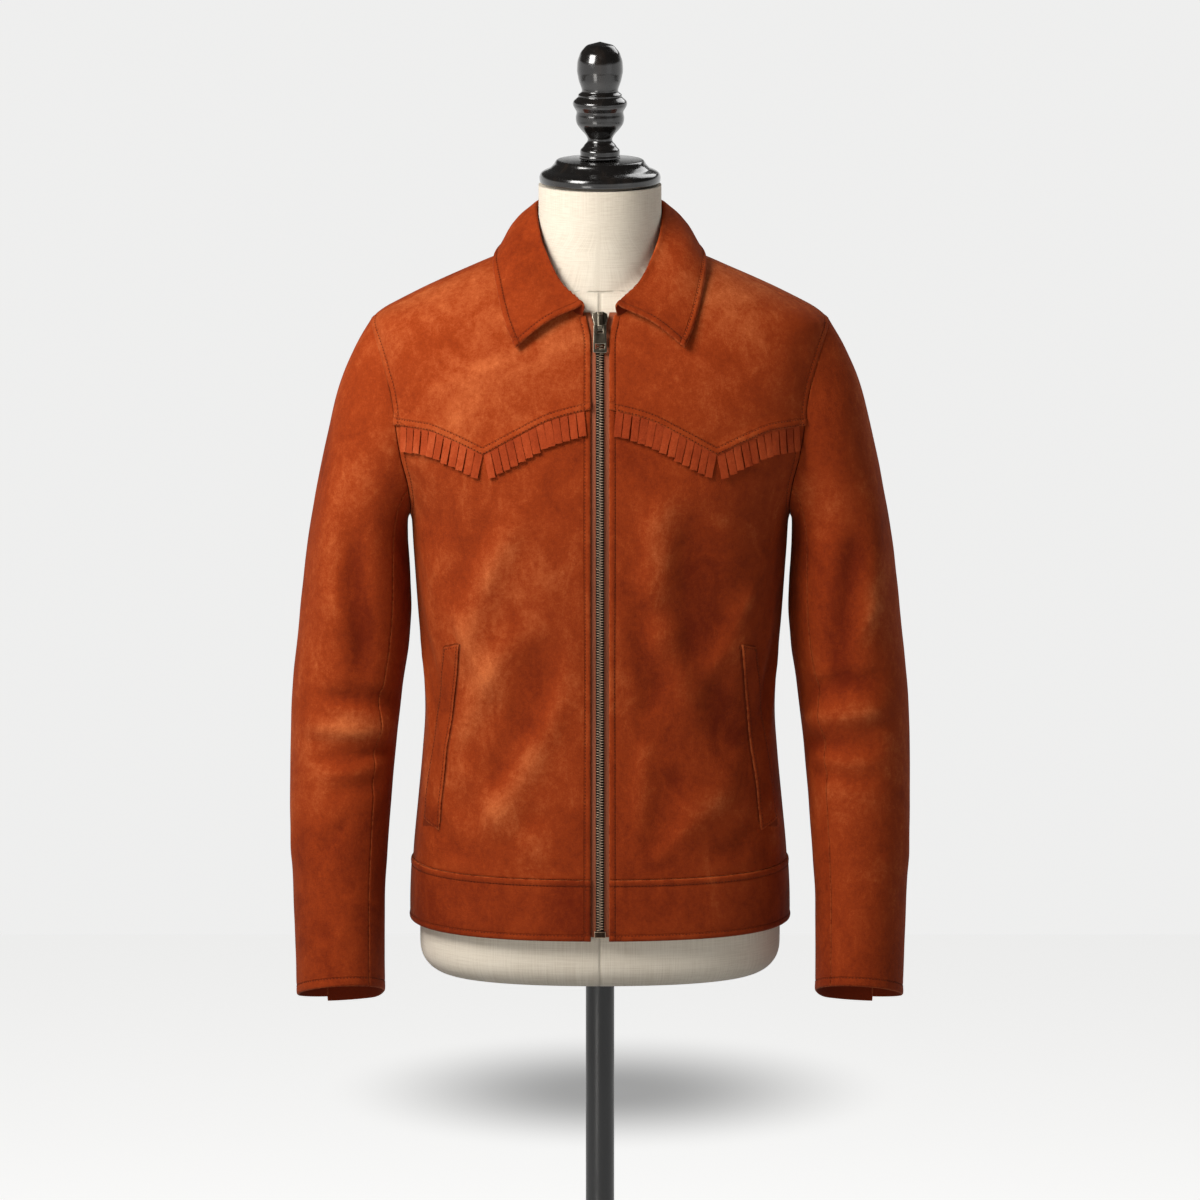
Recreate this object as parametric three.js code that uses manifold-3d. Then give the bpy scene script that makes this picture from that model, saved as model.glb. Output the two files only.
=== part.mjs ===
// A suede zip jacket with a pointed, fringed front yoke, standing on a limbless dress form.
// Millimetres, +Z up, the front faces -Y, +X is the wearer's left.
// Origin: on the floor under the base's centre.
import * as THREE from "three";
import { mergeVertices } from "three/addons/utils/BufferGeometryUtils.js";
import Module from "manifold-3d";

const wasm = await Module();
wasm.setup();

// Walls and gaps
const SUEDE = 1.8; // one layer of suede
const SEAM_GAP = 0.3; // between pieces that are sewn together
const ARMHOLE_GAP = 0.9; // the sleeve's first ring stands this far off the body's armhole edge
const COLLAR_GAP = 1.2; // the collar's foot stands this far inside the neckline's edge
const TAPE = 0.9; // woven zip tape

// Heights above the floor
const FORM_BOTTOM_Z = 775;
const HEM_Z = 828;
const WAIST_SEAM_Z = 890;
const ARMPIT_Z = 1240;
const SHOULDER_Z = 1434;
const NECK_FRONT_Z = 1450;
const NECK_SIDE_Z = 1508;
const FORM_TOP_Z = 1569;

// Stand
const BASE_RADIUS = 190;
const HUB_TOP_Z = 46;
const POLE_RADIUS = 14.3;
const NECK_RADIUS = 61;

// Front opening and zip
const FRONT_EDGE = 9.5; // half the gap between the two fronts
const FRONT_EDGE_TOP = 15.5; // the fronts open into a short V at the neck
const V_START_Z = 1424;
const TAPE_REVEAL = 5.2; // tape that shows between a front's edge and the teeth
const TAPE_UNDER = 8; // tape hidden under the front
const TAPE_BEHIND = 0.7; // from the front's inner face to the tape
const CHAIN_HALF = 4.6; // half the width of the closed teeth
const CHAIN_TOP_Z = 1434;
const CHAIN_BOTTOM_Z = 838.6;
const TAPE_BOTTOM_Z = 832;
const CHAIN_PROUD = 0.6; // teeth over the fronts' outer face
const SLIDER_Z = 1443.5;
const BOX_Z = 835; // middle of the box at the zip's foot

// Sections of the body, from hem to neck: half width, and depth in front of and behind the side line
const SQUARENESS = 0.05; // how much fuller than an ellipse a section is
const TORSO = [
  { z: 770, half: 189.5, front: 128, back: 122 },
  { z: 844, half: 189.5, front: 128, back: 122 },
  { z: 893, half: 187.5, front: 127, back: 120 },
  { z: 948, half: 182.5, front: 124, back: 116 },
  { z: 999, half: 177.7, front: 121, back: 112 },
  { z: 1042, half: 175, front: 119.5, back: 110 },
  { z: 1087, half: 177, front: 121, back: 111 },
  { z: 1129, half: 181, front: 125, back: 116 },
  { z: 1208, half: 186.5, front: 130.5, back: 126 },
  { z: 1240, half: 188.5, front: 131.5, back: 130 },
  { z: 1272, half: 200, front: 130.5, back: 132.5 },
  { z: 1308, half: 218, front: 127, back: 133.5 },
  { z: 1340, half: 226, front: 122, back: 132 },
  { z: 1393, half: 229, front: 106, back: 123 },
  { z: 1434, half: 228.5, front: 86, back: 106 },
  { z: 1452.5, half: 200.5, front: 77, back: 96 },
  { z: 1472, half: 160.5, front: 62, back: 85 },
  { z: 1497, half: 103.5, front: 38, back: 71 },
  { z: 1512, half: 72, front: 12, back: 58 },
  { z: 1570, half: 40, front: 6, back: 30 },
];

// Neckline: its height at each turn round the neck, 0 at centre front and 180 at centre back
const NECKLINE = [
  { turn: 4, z: NECK_FRONT_Z },
  { turn: 18.5, z: 1472 },
  { turn: 41.5, z: 1497 },
  { turn: 78, z: NECK_SIDE_Z },
  { turn: 120, z: NECK_SIDE_Z },
  { turn: 150, z: 1505 },
  { turn: 180, z: 1503 },
];

// Lower edge of the front yoke, on each side of its point
const YOKE_POINT_X = 115;
const YOKE_INNER = [
  { x: 8, z: 1362.5 },
  { x: 48, z: 1352 },
  { x: 86, z: 1333 },
  { x: YOKE_POINT_X, z: 1316.5 },
];
const YOKE_END_X = 204; // where the line meets the armhole
const YOKE_OUTER = [
  { x: YOKE_POINT_X, z: 1316.5 },
  { x: 147, z: 1330 },
  { x: 171, z: 1337.5 },
  { x: YOKE_END_X, z: 1339 },
];

// Armhole: an ellipse on the body's surface, round the side line
const ARMHOLE_TURN = 30; // degrees it reaches in front of and behind the side line
const SHOULDER_SEAM_TURN = 78; // the shoulder seam lies in front of the ridge

// Sleeve rings, from the armhole to the cuff: the outer and inner points seen from the front,
// the ring's middle and half depth seen from the side, and how far the ring leans forward
const SLEEVE = [
  { outX: 229, outZ: 1434, inX: 189.2, inZ: 1239.5, midY: 2, depth: 62, lean: 0 },
  { outX: 246, outZ: 1404, inX: 191.2, inZ: 1235, midY: 2, depth: 65, lean: 0 },
  { outX: 260, outZ: 1369, inX: 191.8, inZ: 1226, midY: 2, depth: 67, lean: 0 },
  { outX: 271, outZ: 1323, inX: 191.6, inZ: 1212, midY: 2, depth: 68, lean: 0 },
  { outX: 281, outZ: 1275, inX: 190.6, inZ: 1195, midY: 2, depth: 68, lean: 0 },
  { outX: 290, outZ: 1225, inX: 189.2, inZ: 1172, midY: 1, depth: 67, lean: 0 },
  { outX: 297, outZ: 1170, inX: 188.4, inZ: 1144, midY: 0, depth: 66, lean: 1 },
  { outX: 302, outZ: 1120, inX: 190.8, inZ: 1108, midY: -1, depth: 64, lean: 3 },
  { outX: 307.5, outZ: 1068, inX: 197, inZ: 1066, midY: -4, depth: 61, lean: 6 },
  { outX: 310, outZ: 1012, inX: 203.5, inZ: 1010, midY: -9, depth: 59, lean: 10 },
  { outX: 310.5, outZ: 950, inX: 208.5, inZ: 955, midY: -18, depth: 57, lean: 13 },
  { outX: 308.5, outZ: 890, inX: 213, inZ: 895, midY: -28, depth: 54, lean: 15 },
  { outX: 306, outZ: 830, inX: 215.5, inZ: 838, midY: -38, depth: 52, lean: 16 },
  { outX: 303.5, outZ: 757, inX: 215.5, inZ: 762, midY: -50, depth: 50, lean: 16 },
];
// Shares of a sleeve's length where its rings stand, closer at the elbow
const SLEEVE_RINGS = [
  0, 0.05, 0.1, 0.16, 0.23, 0.31, 0.39, 0.47, 0.54, 0.59, 0.63, 0.67, 0.71, 0.76, 0.82, 0.88, 0.94, 1,
];
const FRONT_SEAM_TURN = 132; // turns round the sleeve: 0 outside, 90 front, 180 against the body
const BACK_SEAM_TURN = 290;
const SLEEVE_SEAM_SHIFT = 0.18; // degrees that each side of a sleeve's seam keeps clear
const ARMHOLE_BLEND = 0.28; // share of the sleeve's rings that ease from the armhole's form

// Collar, half of it, from centre back (along 0) to its front end (along 1)
const COLLAR_FOOT = [
  { along: 0, turn: 180 },
  { along: 0.2, turn: 145 },
  { along: 0.4, turn: 95 },
  { along: 0.55, turn: 62 },
  { along: 0.7, turn: 40 },
  { along: 0.85, turn: 20 },
  { along: 1, turn: 4.4 },
];
const COLLAR_ROLL = [
  { along: 0, x: 0, y: 66, z: 1551 },
  { along: 0.2, x: 46, y: 49, z: 1551 },
  { along: 0.4, x: 64.5, y: 11, z: 1548 },
  { along: 0.55, x: 61, y: -27, z: 1527 },
  { along: 0.7, x: 49.5, y: -53, z: 1499 },
  { along: 0.8, x: 38.5, y: -67, z: 1481 },
  { along: 0.9, x: 26.5, y: -77, z: 1471 },
  { along: 1, x: 16.5, y: -85, z: 1462 },
];
const COLLAR_EDGE = [
  { along: 0, x: 0, y: 90, z: 1488 },
  { along: 0.2, x: 60, y: 76, z: 1493 },
  { along: 0.4, x: 102, y: 14, z: 1502 },
  { along: 0.55, x: 107, y: -26, z: 1494.5 },
  { along: 0.7, x: 102.5, y: -57, z: 1473 },
  { along: 0.8, x: 98, y: -74, z: 1455 },
  { along: 0.9, x: 91.5, y: -87, z: 1436 },
  { along: 1, x: 84, y: -98, z: 1420 },
];

// Largest folds of the body: a line from one point to another on the surface, half width, and
// height (below 0 a trough). Turns below 0 are on the wearer's right.
const BODY_FOLDS = [
  { turn: -72, z: 1232, toTurn: -38, toZ: 1075, width: 17, height: 3.2 },
  { turn: -80, z: 1190, toTurn: -62, toZ: 985, width: 16, height: -3.6 },
  { turn: -34, z: 1180, toTurn: -12, toZ: 1045, width: 20, height: -2.6 },
  { turn: -58, z: 1040, toTurn: -24, toZ: 915, width: 19, height: 3 },
  { turn: -40, z: 1010, toTurn: -14, toZ: 905, width: 14, height: -2.4 },
  { turn: 70, z: 1226, toTurn: 34, toZ: 1090, width: 16, height: 2.8 },
  { turn: 79, z: 1185, toTurn: 64, toZ: 1000, width: 17, height: -3.8 },
  { turn: 30, z: 1150, toTurn: 13, toZ: 1010, width: 19, height: -2.4 },
  { turn: 52, z: 1020, toTurn: 20, toZ: 925, width: 18, height: 2.8 },
  { turn: 102, z: 1215, toTurn: 140, toZ: 1050, width: 19, height: -3.4 },
  { turn: 118, z: 1100, toTurn: 158, toZ: 955, width: 18, height: 3.2 },
  { turn: 104, z: 1070, toTurn: 128, toZ: 930, width: 15, height: -3 },
  { turn: 258, z: 1212, toTurn: 218, toZ: 1060, width: 18, height: -3.2 },
  { turn: 244, z: 1090, toTurn: 204, toZ: 950, width: 20, height: 3 },
  { turn: 256, z: 1050, toTurn: 236, toZ: 915, width: 16, height: -3.2 },
  { turn: 188, z: 1120, toTurn: 172, toZ: 990, width: 20, height: -2.4 },
];
const BODY_MM_PER_DEGREE = 2.7;

// Largest folds of a sleeve, on each side its own
const SLEEVE_FOLDS = {
  right: [
    { turn: 76, z: 1240, toTurn: 108, toZ: 1068, width: 15, height: -4.6 },
    { turn: 44, z: 1290, toTurn: 70, toZ: 1110, width: 18, height: 2.6 },
    { turn: 168, z: 1052, toTurn: 62, toZ: 1066, width: 9, height: -4 },
    { turn: 160, z: 1028, toTurn: 48, toZ: 1034, width: 10, height: 3 },
    { turn: 170, z: 1006, toTurn: 58, toZ: 1002, width: 9, height: -3.8 },
    { turn: 150, z: 978, toTurn: 74, toZ: 968, width: 9, height: -2.4 },
    { turn: 262, z: 1110, toTurn: 322, toZ: 1055, width: 12, height: -3 },
    { turn: 300, z: 1000, toTurn: 250, toZ: 905, width: 15, height: -3.2 },
  ],
  left: [
    { turn: 70, z: 1232, toTurn: 104, toZ: 1075, width: 16, height: -4.2 },
    { turn: 40, z: 1280, toTurn: 66, toZ: 1120, width: 17, height: 2.8 },
    { turn: 166, z: 1062, toTurn: 56, toZ: 1084, width: 10, height: -3.6 },
    { turn: 162, z: 1036, toTurn: 52, toZ: 1052, width: 9, height: 3.2 },
    { turn: 168, z: 1012, toTurn: 64, toZ: 1018, width: 10, height: -4 },
    { turn: 156, z: 984, toTurn: 70, toZ: 980, width: 8, height: -2.6 },
    { turn: 266, z: 1100, toTurn: 318, toZ: 1062, width: 13, height: -2.8 },
    { turn: 296, z: 990, toTurn: 254, toZ: 890, width: 14, height: -3 },
  ],
};
const SLEEVE_MM_PER_DEGREE = 1;

// Fringe along the yoke
const FRINGE_FIRST_X = 16;
const FRINGE_LAST_X = 196.5;
const FRINGE_STRANDS_INSIDE = 14; // between the zip and the yoke's point
const FRINGE_STRANDS_OUTSIDE = 12; // between the point and the armhole
const FRINGE_STRIP = 3;
const FRINGE_LENGTH = 26;
const FRINGE_UNEVEN = 0.8; // difference in length from strand to strand
const FRINGE_LEAN = 0.42; // share of the edge's slope that the strands follow
const FRINGE_THICK = 1.5;
const FRINGE_OVER = 0.6; // from the front panel to the strands
const FRINGE_BELOW = 0.35; // from the yoke's line to the strip
const SLIT = 0.5;
const SLIT_OPEN = 1.2;

// Welt pocket openings
const WELT_ENDS = { topX: 145.5, topZ: 1119, topWidth: 17, bottomX: 168.5, bottomZ: 933, bottomWidth: 15 };
const WELT_THICK = 1.5;
const WELT_OVER = 1.2; // from the front panel to the welt

// Clearance of the form inside the jacket's outer surface
const FORM_EASE = [
  { z: 770, ease: 8.6 },
  { z: 1180, ease: 9.5 },
  { z: 1300, ease: 7 },
  { z: 1400, ease: 5 },
  { z: 1436, ease: 4.2 },
  { z: 1455, ease: 3.4 },
  { z: 1470, ease: 3.3 },
  { z: 1490, ease: 6 },
  { z: 1508, ease: 11 },
];
const FORM_FRONT_EASE = 2; // more at the centre front, for the zip's tape
const FORM_ARM_PLATE = [
  { z: 1170, x: 176 },
  { z: 1240, x: 173 },
  { z: 1300, x: 184 },
  { z: 1380, x: 196 },
  { z: 1434, x: 201 },
  { z: 1500, x: 201 },
];
const FORM_ROUND = 26; // radius of the form's lower edge

// Turned cap and finial: radius and height
const CAP_PROFILE = [
  { r: 0, z: 1569.3 },
  { r: 57, z: 1569.3 },
  { r: 60, z: 1572 },
  { r: 60.3, z: 1577 },
  { r: 59, z: 1580.5 },
  { r: 56, z: 1582.5 },
  { r: 50, z: 1585 },
  { r: 46, z: 1589 },
  { r: 44.5, z: 1592 },
  { r: 43, z: 1593.7 },
  { r: 0, z: 1594 },
];
const FINIAL_PROFILE = [
  { r: 0, z: 1594.3 },
  { r: 20.5, z: 1594.3 },
  { r: 20.5, z: 1597.5 },
  { r: 19.5, z: 1598.5 },
  { r: 20, z: 1603.5 },
  { r: 17, z: 1606.3 },
  { r: 15.5, z: 1608.9 },
  { r: 12.8, z: 1611.5 },
  { r: 12, z: 1614.5 },
  { r: 14, z: 1618.5 },
  { r: 19.5, z: 1624.5 },
  { r: 23.5, z: 1630 },
  { r: 24.3, z: 1636 },
  { r: 23, z: 1641.5 },
  { r: 24.5, z: 1644 },
  { r: 27, z: 1648 },
  { r: 27, z: 1652 },
  { r: 23.5, z: 1655 },
  { r: 21.5, z: 1657 },
  { r: 22, z: 1659 },
  { r: 18, z: 1661.5 },
  { r: 18.3, z: 1665 },
  { r: 21, z: 1672 },
  { r: 23, z: 1682 },
  { r: 22.5, z: 1692 },
  { r: 19.5, z: 1701 },
  { r: 13.5, z: 1708 },
  { r: 0, z: 1711.5 },
];
const BASE_PROFILE = [
  { r: 0, z: 0 },
  { r: BASE_RADIUS - 2, z: 0 },
  { r: BASE_RADIUS, z: 2 },
  { r: BASE_RADIUS, z: 8 },
  { r: BASE_RADIUS - 5, z: 11.5 },
  { r: 60, z: 17 },
  { r: 32, z: 21 },
  { r: 25, z: 28 },
  { r: 23, z: 44 },
  { r: 21, z: HUB_TOP_Z },
  { r: 0, z: HUB_TOP_Z },
];

// Colours
const MATERIALS = {
  suede: { color: 0xa8471c, roughness: 0.95, metalness: 0 },
  suedeFringe: { color: 0xb14d22, roughness: 0.95, metalness: 0 },
  tape: { color: 0x6e3a26, roughness: 0.9, metalness: 0 },
  brass: { color: 0x6f6655, roughness: 0.45, metalness: 1 },
  linen: { color: 0xd9d2c2, roughness: 0.9, metalness: 0 },
  lacquer: { color: 0x0b0a0a, roughness: 0.2, metalness: 0 },
  iron: { color: 0x141414, roughness: 0.45, metalness: 0.3 },
};

const DEGREE = Math.PI / 180;
const lerp = THREE.MathUtils.lerp;
const clamp = THREE.MathUtils.clamp;
const smoothstep = THREE.MathUtils.smoothstep;
const vector = (x, y, z) => new THREE.Vector3(x, y, z);
const steps = (count) => Array.from({ length: count + 1 }, (_, i) => i / count);

// A smooth curve through a table's rows that never swings past them.
function curveThrough(rows, at, value) {
  const x = rows.map((row) => row[at]);
  const y = rows.map((row) => row[value]);
  const slope = x.slice(1).map((next, i) => (y[i + 1] - y[i]) / (next - x[i]));
  const tangent = x.map((_, i) => {
    if (i === 0) return slope[0];
    if (i === x.length - 1) return slope[i - 1];
    const product = slope[i - 1] * slope[i];
    return product <= 0 ? 0 : (2 * product) / (slope[i - 1] + slope[i]);
  });
  return (where) => {
    const v = clamp(where, x[0], x[x.length - 1]);
    let i = 0;
    while (i < x.length - 2 && v > x[i + 1]) i += 1;
    const span = x[i + 1] - x[i];
    const t = (v - x[i]) / span;
    const start = (1 + 2 * t) * (1 - t) ** 2 * y[i] + t * (1 - t) ** 2 * span * tangent[i];
    return start + t * t * (3 - 2 * t) * y[i + 1] + t * t * (t - 1) * span * tangent[i + 1];
  };
}

const halfWidth = curveThrough(TORSO, "z", "half");
const frontDepth = curveThrough(TORSO, "z", "front");
const backDepth = curveThrough(TORSO, "z", "back");
const necklineZ = curveThrough(NECKLINE, "turn", "z");
const yokeInnerZ = curveThrough(YOKE_INNER, "x", "z");
const yokeOuterZ = curveThrough(YOKE_OUTER, "x", "z");
const yokeZ = (x) => (x < YOKE_POINT_X ? yokeInnerZ(x) : yokeOuterZ(x));
const frontEdgeX = (z) => lerp(FRONT_EDGE, FRONT_EDGE_TOP, smoothstep(z, V_START_Z, NECK_FRONT_Z + 12));

// A point of the body's smooth outer surface.
function torsoPoint(turn, z) {
  const a = turn * DEGREE;
  const fuller = 1 + SQUARENESS * Math.sin(2 * a) ** 2;
  const depth = Math.cos(a) > 0 ? frontDepth(z) : backDepth(z);
  return vector(halfWidth(z) * Math.sin(a) * fuller, -depth * Math.cos(a) * fuller, z);
}

function torsoNormal(turn, z) {
  const round = torsoPoint(turn + 0.5, z).sub(torsoPoint(turn - 0.5, z));
  const up = torsoPoint(turn, z + 0.5).sub(torsoPoint(turn, z - 0.5));
  return round.cross(up).normalize();
}

// The turn, on the front, at which the surface has a given distance from the centre line.
function turnAt(x, z) {
  let low = 0;
  let high = 90;
  for (let i = 0; i < 40; i += 1) {
    const middle = (low + high) / 2;
    if (torsoPoint(middle, z).x < x) low = middle;
    else high = middle;
  }
  return low;
}

// Height of a list of folds at a point, each a soft ridge or trough that fades at its ends.
function foldHeight(folds, turn, z, scale) {
  let height = 0;
  for (const fold of folds) {
    for (const shift of [-360, 0, 360]) {
      const run = (fold.toTurn - fold.turn) * scale;
      const rise = fold.toZ - fold.z;
      const dx = (turn + shift - fold.turn) * scale;
      const dz = z - fold.z;
      const along = (dx * run + dz * rise) / (run * run + rise * rise);
      const across = Math.hypot(dx - along * run, dz - along * rise);
      const fade = smoothstep(along, -0.12, 0.25) * (1 - smoothstep(along, 0.75, 1.12));
      height += fold.height * fade * Math.exp(-((across / fold.width) ** 2));
    }
  }
  return height;
}

// A point of the jacket's body, moved out from its smooth surface by the folds and a given distance.
function jacketPoint(turn, z, out) {
  const point = torsoPoint(turn, z);
  const besideZip = point.y < 0 ? smoothstep(Math.abs(point.x), 18, 48) : 1;
  const overWaist = smoothstep(z, WAIST_SEAM_Z - 20, WAIST_SEAM_Z + 40);
  const fold = besideZip * overWaist * foldHeight(BODY_FOLDS, turn, z, BODY_MM_PER_DEGREE);
  return point.addScaledVector(torsoNormal(turn, z), out + fold);
}

// A closed slab between two grids of points, each a list of rows of the same length.
function slab(outer, inner) {
  const rows = outer.length;
  const columns = outer[0].length;
  const points = [...outer.flat(), ...inner.flat()];
  const index = [];
  const at = (side, row, column) => side * rows * columns + row * columns + column;
  const quad = (a, b, c, d) => index.push(a, b, c, a, c, d);
  for (let r = 0; r < rows - 1; r += 1) {
    for (let c = 0; c < columns - 1; c += 1) {
      quad(at(0, r, c), at(0, r, c + 1), at(0, r + 1, c + 1), at(0, r + 1, c));
      quad(at(1, r, c), at(1, r + 1, c), at(1, r + 1, c + 1), at(1, r, c + 1));
    }
  }
  const rim = [];
  for (let c = 0; c < columns - 1; c += 1) rim.push([0, c]);
  for (let r = 0; r < rows - 1; r += 1) rim.push([r, columns - 1]);
  for (let c = columns - 1; c > 0; c -= 1) rim.push([rows - 1, c]);
  for (let r = rows - 1; r > 0; r -= 1) rim.push([r, 0]);
  rim.forEach(([r, c], i) => {
    const [nextR, nextC] = rim[(i + 1) % rim.length];
    quad(at(0, r, c), at(1, r, c), at(1, nextR, nextC), at(0, nextR, nextC));
  });
  return closedGeometry(points, index);
}

// A geometry from points and triangles, turned to face outwards.
function closedGeometry(points, index) {
  let volume = 0;
  for (let i = 0; i < index.length; i += 3) {
    const [a, b, c] = [points[index[i]], points[index[i + 1]], points[index[i + 2]]];
    volume += a.dot(b.clone().cross(c));
  }
  const facing = volume > 0 ? index : index.map((_, i) => index[i - (i % 3) + [0, 2, 1][i % 3]]);
  const geometry = new THREE.BufferGeometry();
  geometry.setAttribute("position", new THREE.Float32BufferAttribute(points.flatMap((p) => p.toArray()), 3));
  geometry.setIndex(facing);
  geometry.computeVertexNormals();
  return geometry;
}

// A wall on the body's surface over a grid of [turn, z] pairs.
function bodyWall(grid, out = 0, thick = SUEDE) {
  const lift = (distance) => grid.map((row) => row.map(([turn, z]) => jacketPoint(turn, z, distance)));
  return slab(lift(out), lift(out - thick));
}

// A wall behind a grid of free points, thickened against the grid's own normals.
function freeWall(grid, thick, flip) {
  const rows = grid.length;
  const columns = grid[0].length;
  const inner = grid.map((row, r) =>
    row.map((point, c) => {
      const across = row[Math.min(c + 1, columns - 1)].clone().sub(row[Math.max(c - 1, 0)]);
      const down = grid[Math.min(r + 1, rows - 1)][c].clone().sub(grid[Math.max(r - 1, 0)][c]);
      const normal = across.cross(down).normalize();
      return point.clone().addScaledVector(normal, flip * thick);
    }),
  );
  return slab(grid, inner);
}

// Fills a patch between four edges, each a function from 0..1 to a [turn, z] pair.
function patch(bottom, top, inner, outer, columns, rows) {
  return steps(rows).map((v) =>
    steps(columns).map((u) =>
      [0, 1].map((k) => {
        const ruled = (1 - v) * bottom(u)[k] + v * top(u)[k] + (1 - u) * inner(v)[k] + u * outer(v)[k];
        const low = (1 - v) * ((1 - u) * bottom(0)[k] + u * bottom(1)[k]);
        const high = v * ((1 - u) * top(0)[k] + u * top(1)[k]);
        return ruled - low - high;
      }),
    ),
  );
}

// The armhole's edge: 0 at the armpit, 1 at the shoulder; "way" is 1 in front and -1 behind the side line.
const ARMHOLE_MIDDLE_Z = (ARMPIT_Z + SHOULDER_Z) / 2;
const ARMHOLE_HALF_Z = (SHOULDER_Z - ARMPIT_Z) / 2;
function armhole(along, way) {
  const a = Math.PI * along;
  return [90 - way * ARMHOLE_TURN * Math.sin(a), ARMHOLE_MIDDLE_Z - ARMHOLE_HALF_Z * Math.cos(a)];
}
const armholeAlongAt = (z) => Math.acos((ARMHOLE_MIDDLE_Z - z) / ARMHOLE_HALF_Z) / Math.PI;

// The shoulder seam runs from the armhole's top to the neck, easing forward of the ridge.
function shoulderSeam(along, shift) {
  const z = lerp(SHOULDER_Z, NECK_SIDE_Z, along);
  const turn = lerp(90, SHOULDER_SEAM_TURN, Math.min(3 * along, 1));
  return [turn + shift, z];
}

const SEAM_SHIFT = 0.12; // degrees that each side of a seam keeps clear on the body
const half = SEAM_GAP / 2;

// A point of the yoke's lower edge, from the front edge (u 0) past its point (u 0.5) to the armhole.
function yokeLinePoint(u, shift) {
  const outerX = torsoPoint(...armhole(armholeAlongAt(yokeZ(YOKE_END_X)), 1)).x;
  const x = u < 0.5 ? lerp(FRONT_EDGE, YOKE_POINT_X, 2 * u) : lerp(YOKE_POINT_X, outerX, 2 * u - 1);
  const z = yokeZ(x) + shift;
  return [u === 1 ? armhole(armholeAlongAt(z), 1)[0] : turnAt(x, z), z];
}

function frontPanel(side) {
  const topZ = yokeZ(FRONT_EDGE) - half;
  const bottomZ = WAIST_SEAM_Z + half;
  const outerTop = armholeAlongAt(yokeLinePoint(1, -half)[1]);
  const armpitAt = 8 / 18;
  const bottom = (u) => [lerp(turnAt(FRONT_EDGE, bottomZ), 90 - SEAM_SHIFT, u), bottomZ];
  const top = (u) => yokeLinePoint(u, -half);
  const inner = (v) => [turnAt(FRONT_EDGE, lerp(bottomZ, topZ, v)), lerp(bottomZ, topZ, v)];
  const outer = (v) => {
    if (v <= armpitAt) return [90 - SEAM_SHIFT, lerp(bottomZ, ARMPIT_Z, v / armpitAt)];
    const [turn, z] = armhole((outerTop * (v - armpitAt)) / (1 - armpitAt), 1);
    return [turn - SEAM_SHIFT, z];
  };
  return bodyWall(mirrored(patch(bottom, top, inner, outer, 12, 18), side));
}

function yokePanel(side) {
  const bottomZ = yokeZ(FRONT_EDGE) + half;
  const outerStart = armholeAlongAt(yokeLinePoint(1, half)[1]);
  const neckAt = 0.45;
  const neckTurn = turnAt(frontEdgeX(NECK_FRONT_Z), NECK_FRONT_Z);
  const bottom = (u) => yokeLinePoint(u, half);
  const top = (u) => shoulderSeam(1 - u, -SEAM_SHIFT);
  const inner = (v) => {
    if (v <= neckAt) {
      const z = lerp(bottomZ, NECK_FRONT_Z, v / neckAt);
      return [turnAt(frontEdgeX(z), z), z];
    }
    const turn = lerp(neckTurn, SHOULDER_SEAM_TURN - SEAM_SHIFT, (v - neckAt) / (1 - neckAt));
    return [turn, necklineZ(turn)];
  };
  const outer = (v) => {
    const [turn, z] = armhole(lerp(outerStart, 1, v), 1);
    return [turn - SEAM_SHIFT, z];
  };
  return bodyWall(mirrored(patch(bottom, top, inner, outer, 12, 12), side));
}

function backPanel() {
  const bottomZ = WAIST_SEAM_Z + half;
  const armpitAt = 7 / 27;
  const shoulderAt = 21 / 27;
  const bottom = (u) => [lerp(90 + SEAM_SHIFT, 270 - SEAM_SHIFT, u), bottomZ];
  const top = (u) => {
    const turn = lerp(SHOULDER_SEAM_TURN + SEAM_SHIFT, 360 - SHOULDER_SEAM_TURN - SEAM_SHIFT, u);
    return [turn, necklineZ(180 - Math.abs(turn - 180))];
  };
  const inner = (v) => {
    if (v <= armpitAt) return [90 + SEAM_SHIFT, lerp(bottomZ, ARMPIT_Z, v / armpitAt)];
    if (v <= shoulderAt) {
      const [turn, z] = armhole((v - armpitAt) / (shoulderAt - armpitAt), -1);
      return [turn + SEAM_SHIFT, z];
    }
    return shoulderSeam((v - shoulderAt) / (1 - shoulderAt), SEAM_SHIFT);
  };
  const outer = (v) => [360 - inner(v)[0], inner(v)[1]];
  return bodyWall(patch(bottom, top, inner, outer, 20, 27));
}

const mirrored = (grid, side) => grid.map((row) => row.map(([turn, z]) => [side * turn, z]));

const BAND_PROUD = 1.4; // the waistband's outer face over the fronts
function waistband(fromTurn, toTurn, columns) {
  const grid = steps(2).map((v) =>
    steps(columns).map((u) => [lerp(fromTurn, toTurn, u), lerp(HEM_Z, WAIST_SEAM_Z - half, v)]),
  );
  return bodyWall(grid, BAND_PROUD, SUEDE + BAND_PROUD);
}

function pocketWelt(side) {
  const grid = steps(8).map((v) => {
    const z = lerp(WELT_ENDS.bottomZ, WELT_ENDS.topZ, v);
    const middle = lerp(WELT_ENDS.bottomX, WELT_ENDS.topX, v);
    const width = lerp(WELT_ENDS.bottomWidth, WELT_ENDS.topWidth, v);
    return steps(2).map((u) => [side * turnAt(middle + (u - 0.5) * width, z), z]);
  });
  return bodyWall(grid, WELT_OVER + WELT_THICK, WELT_THICK);
}

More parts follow.
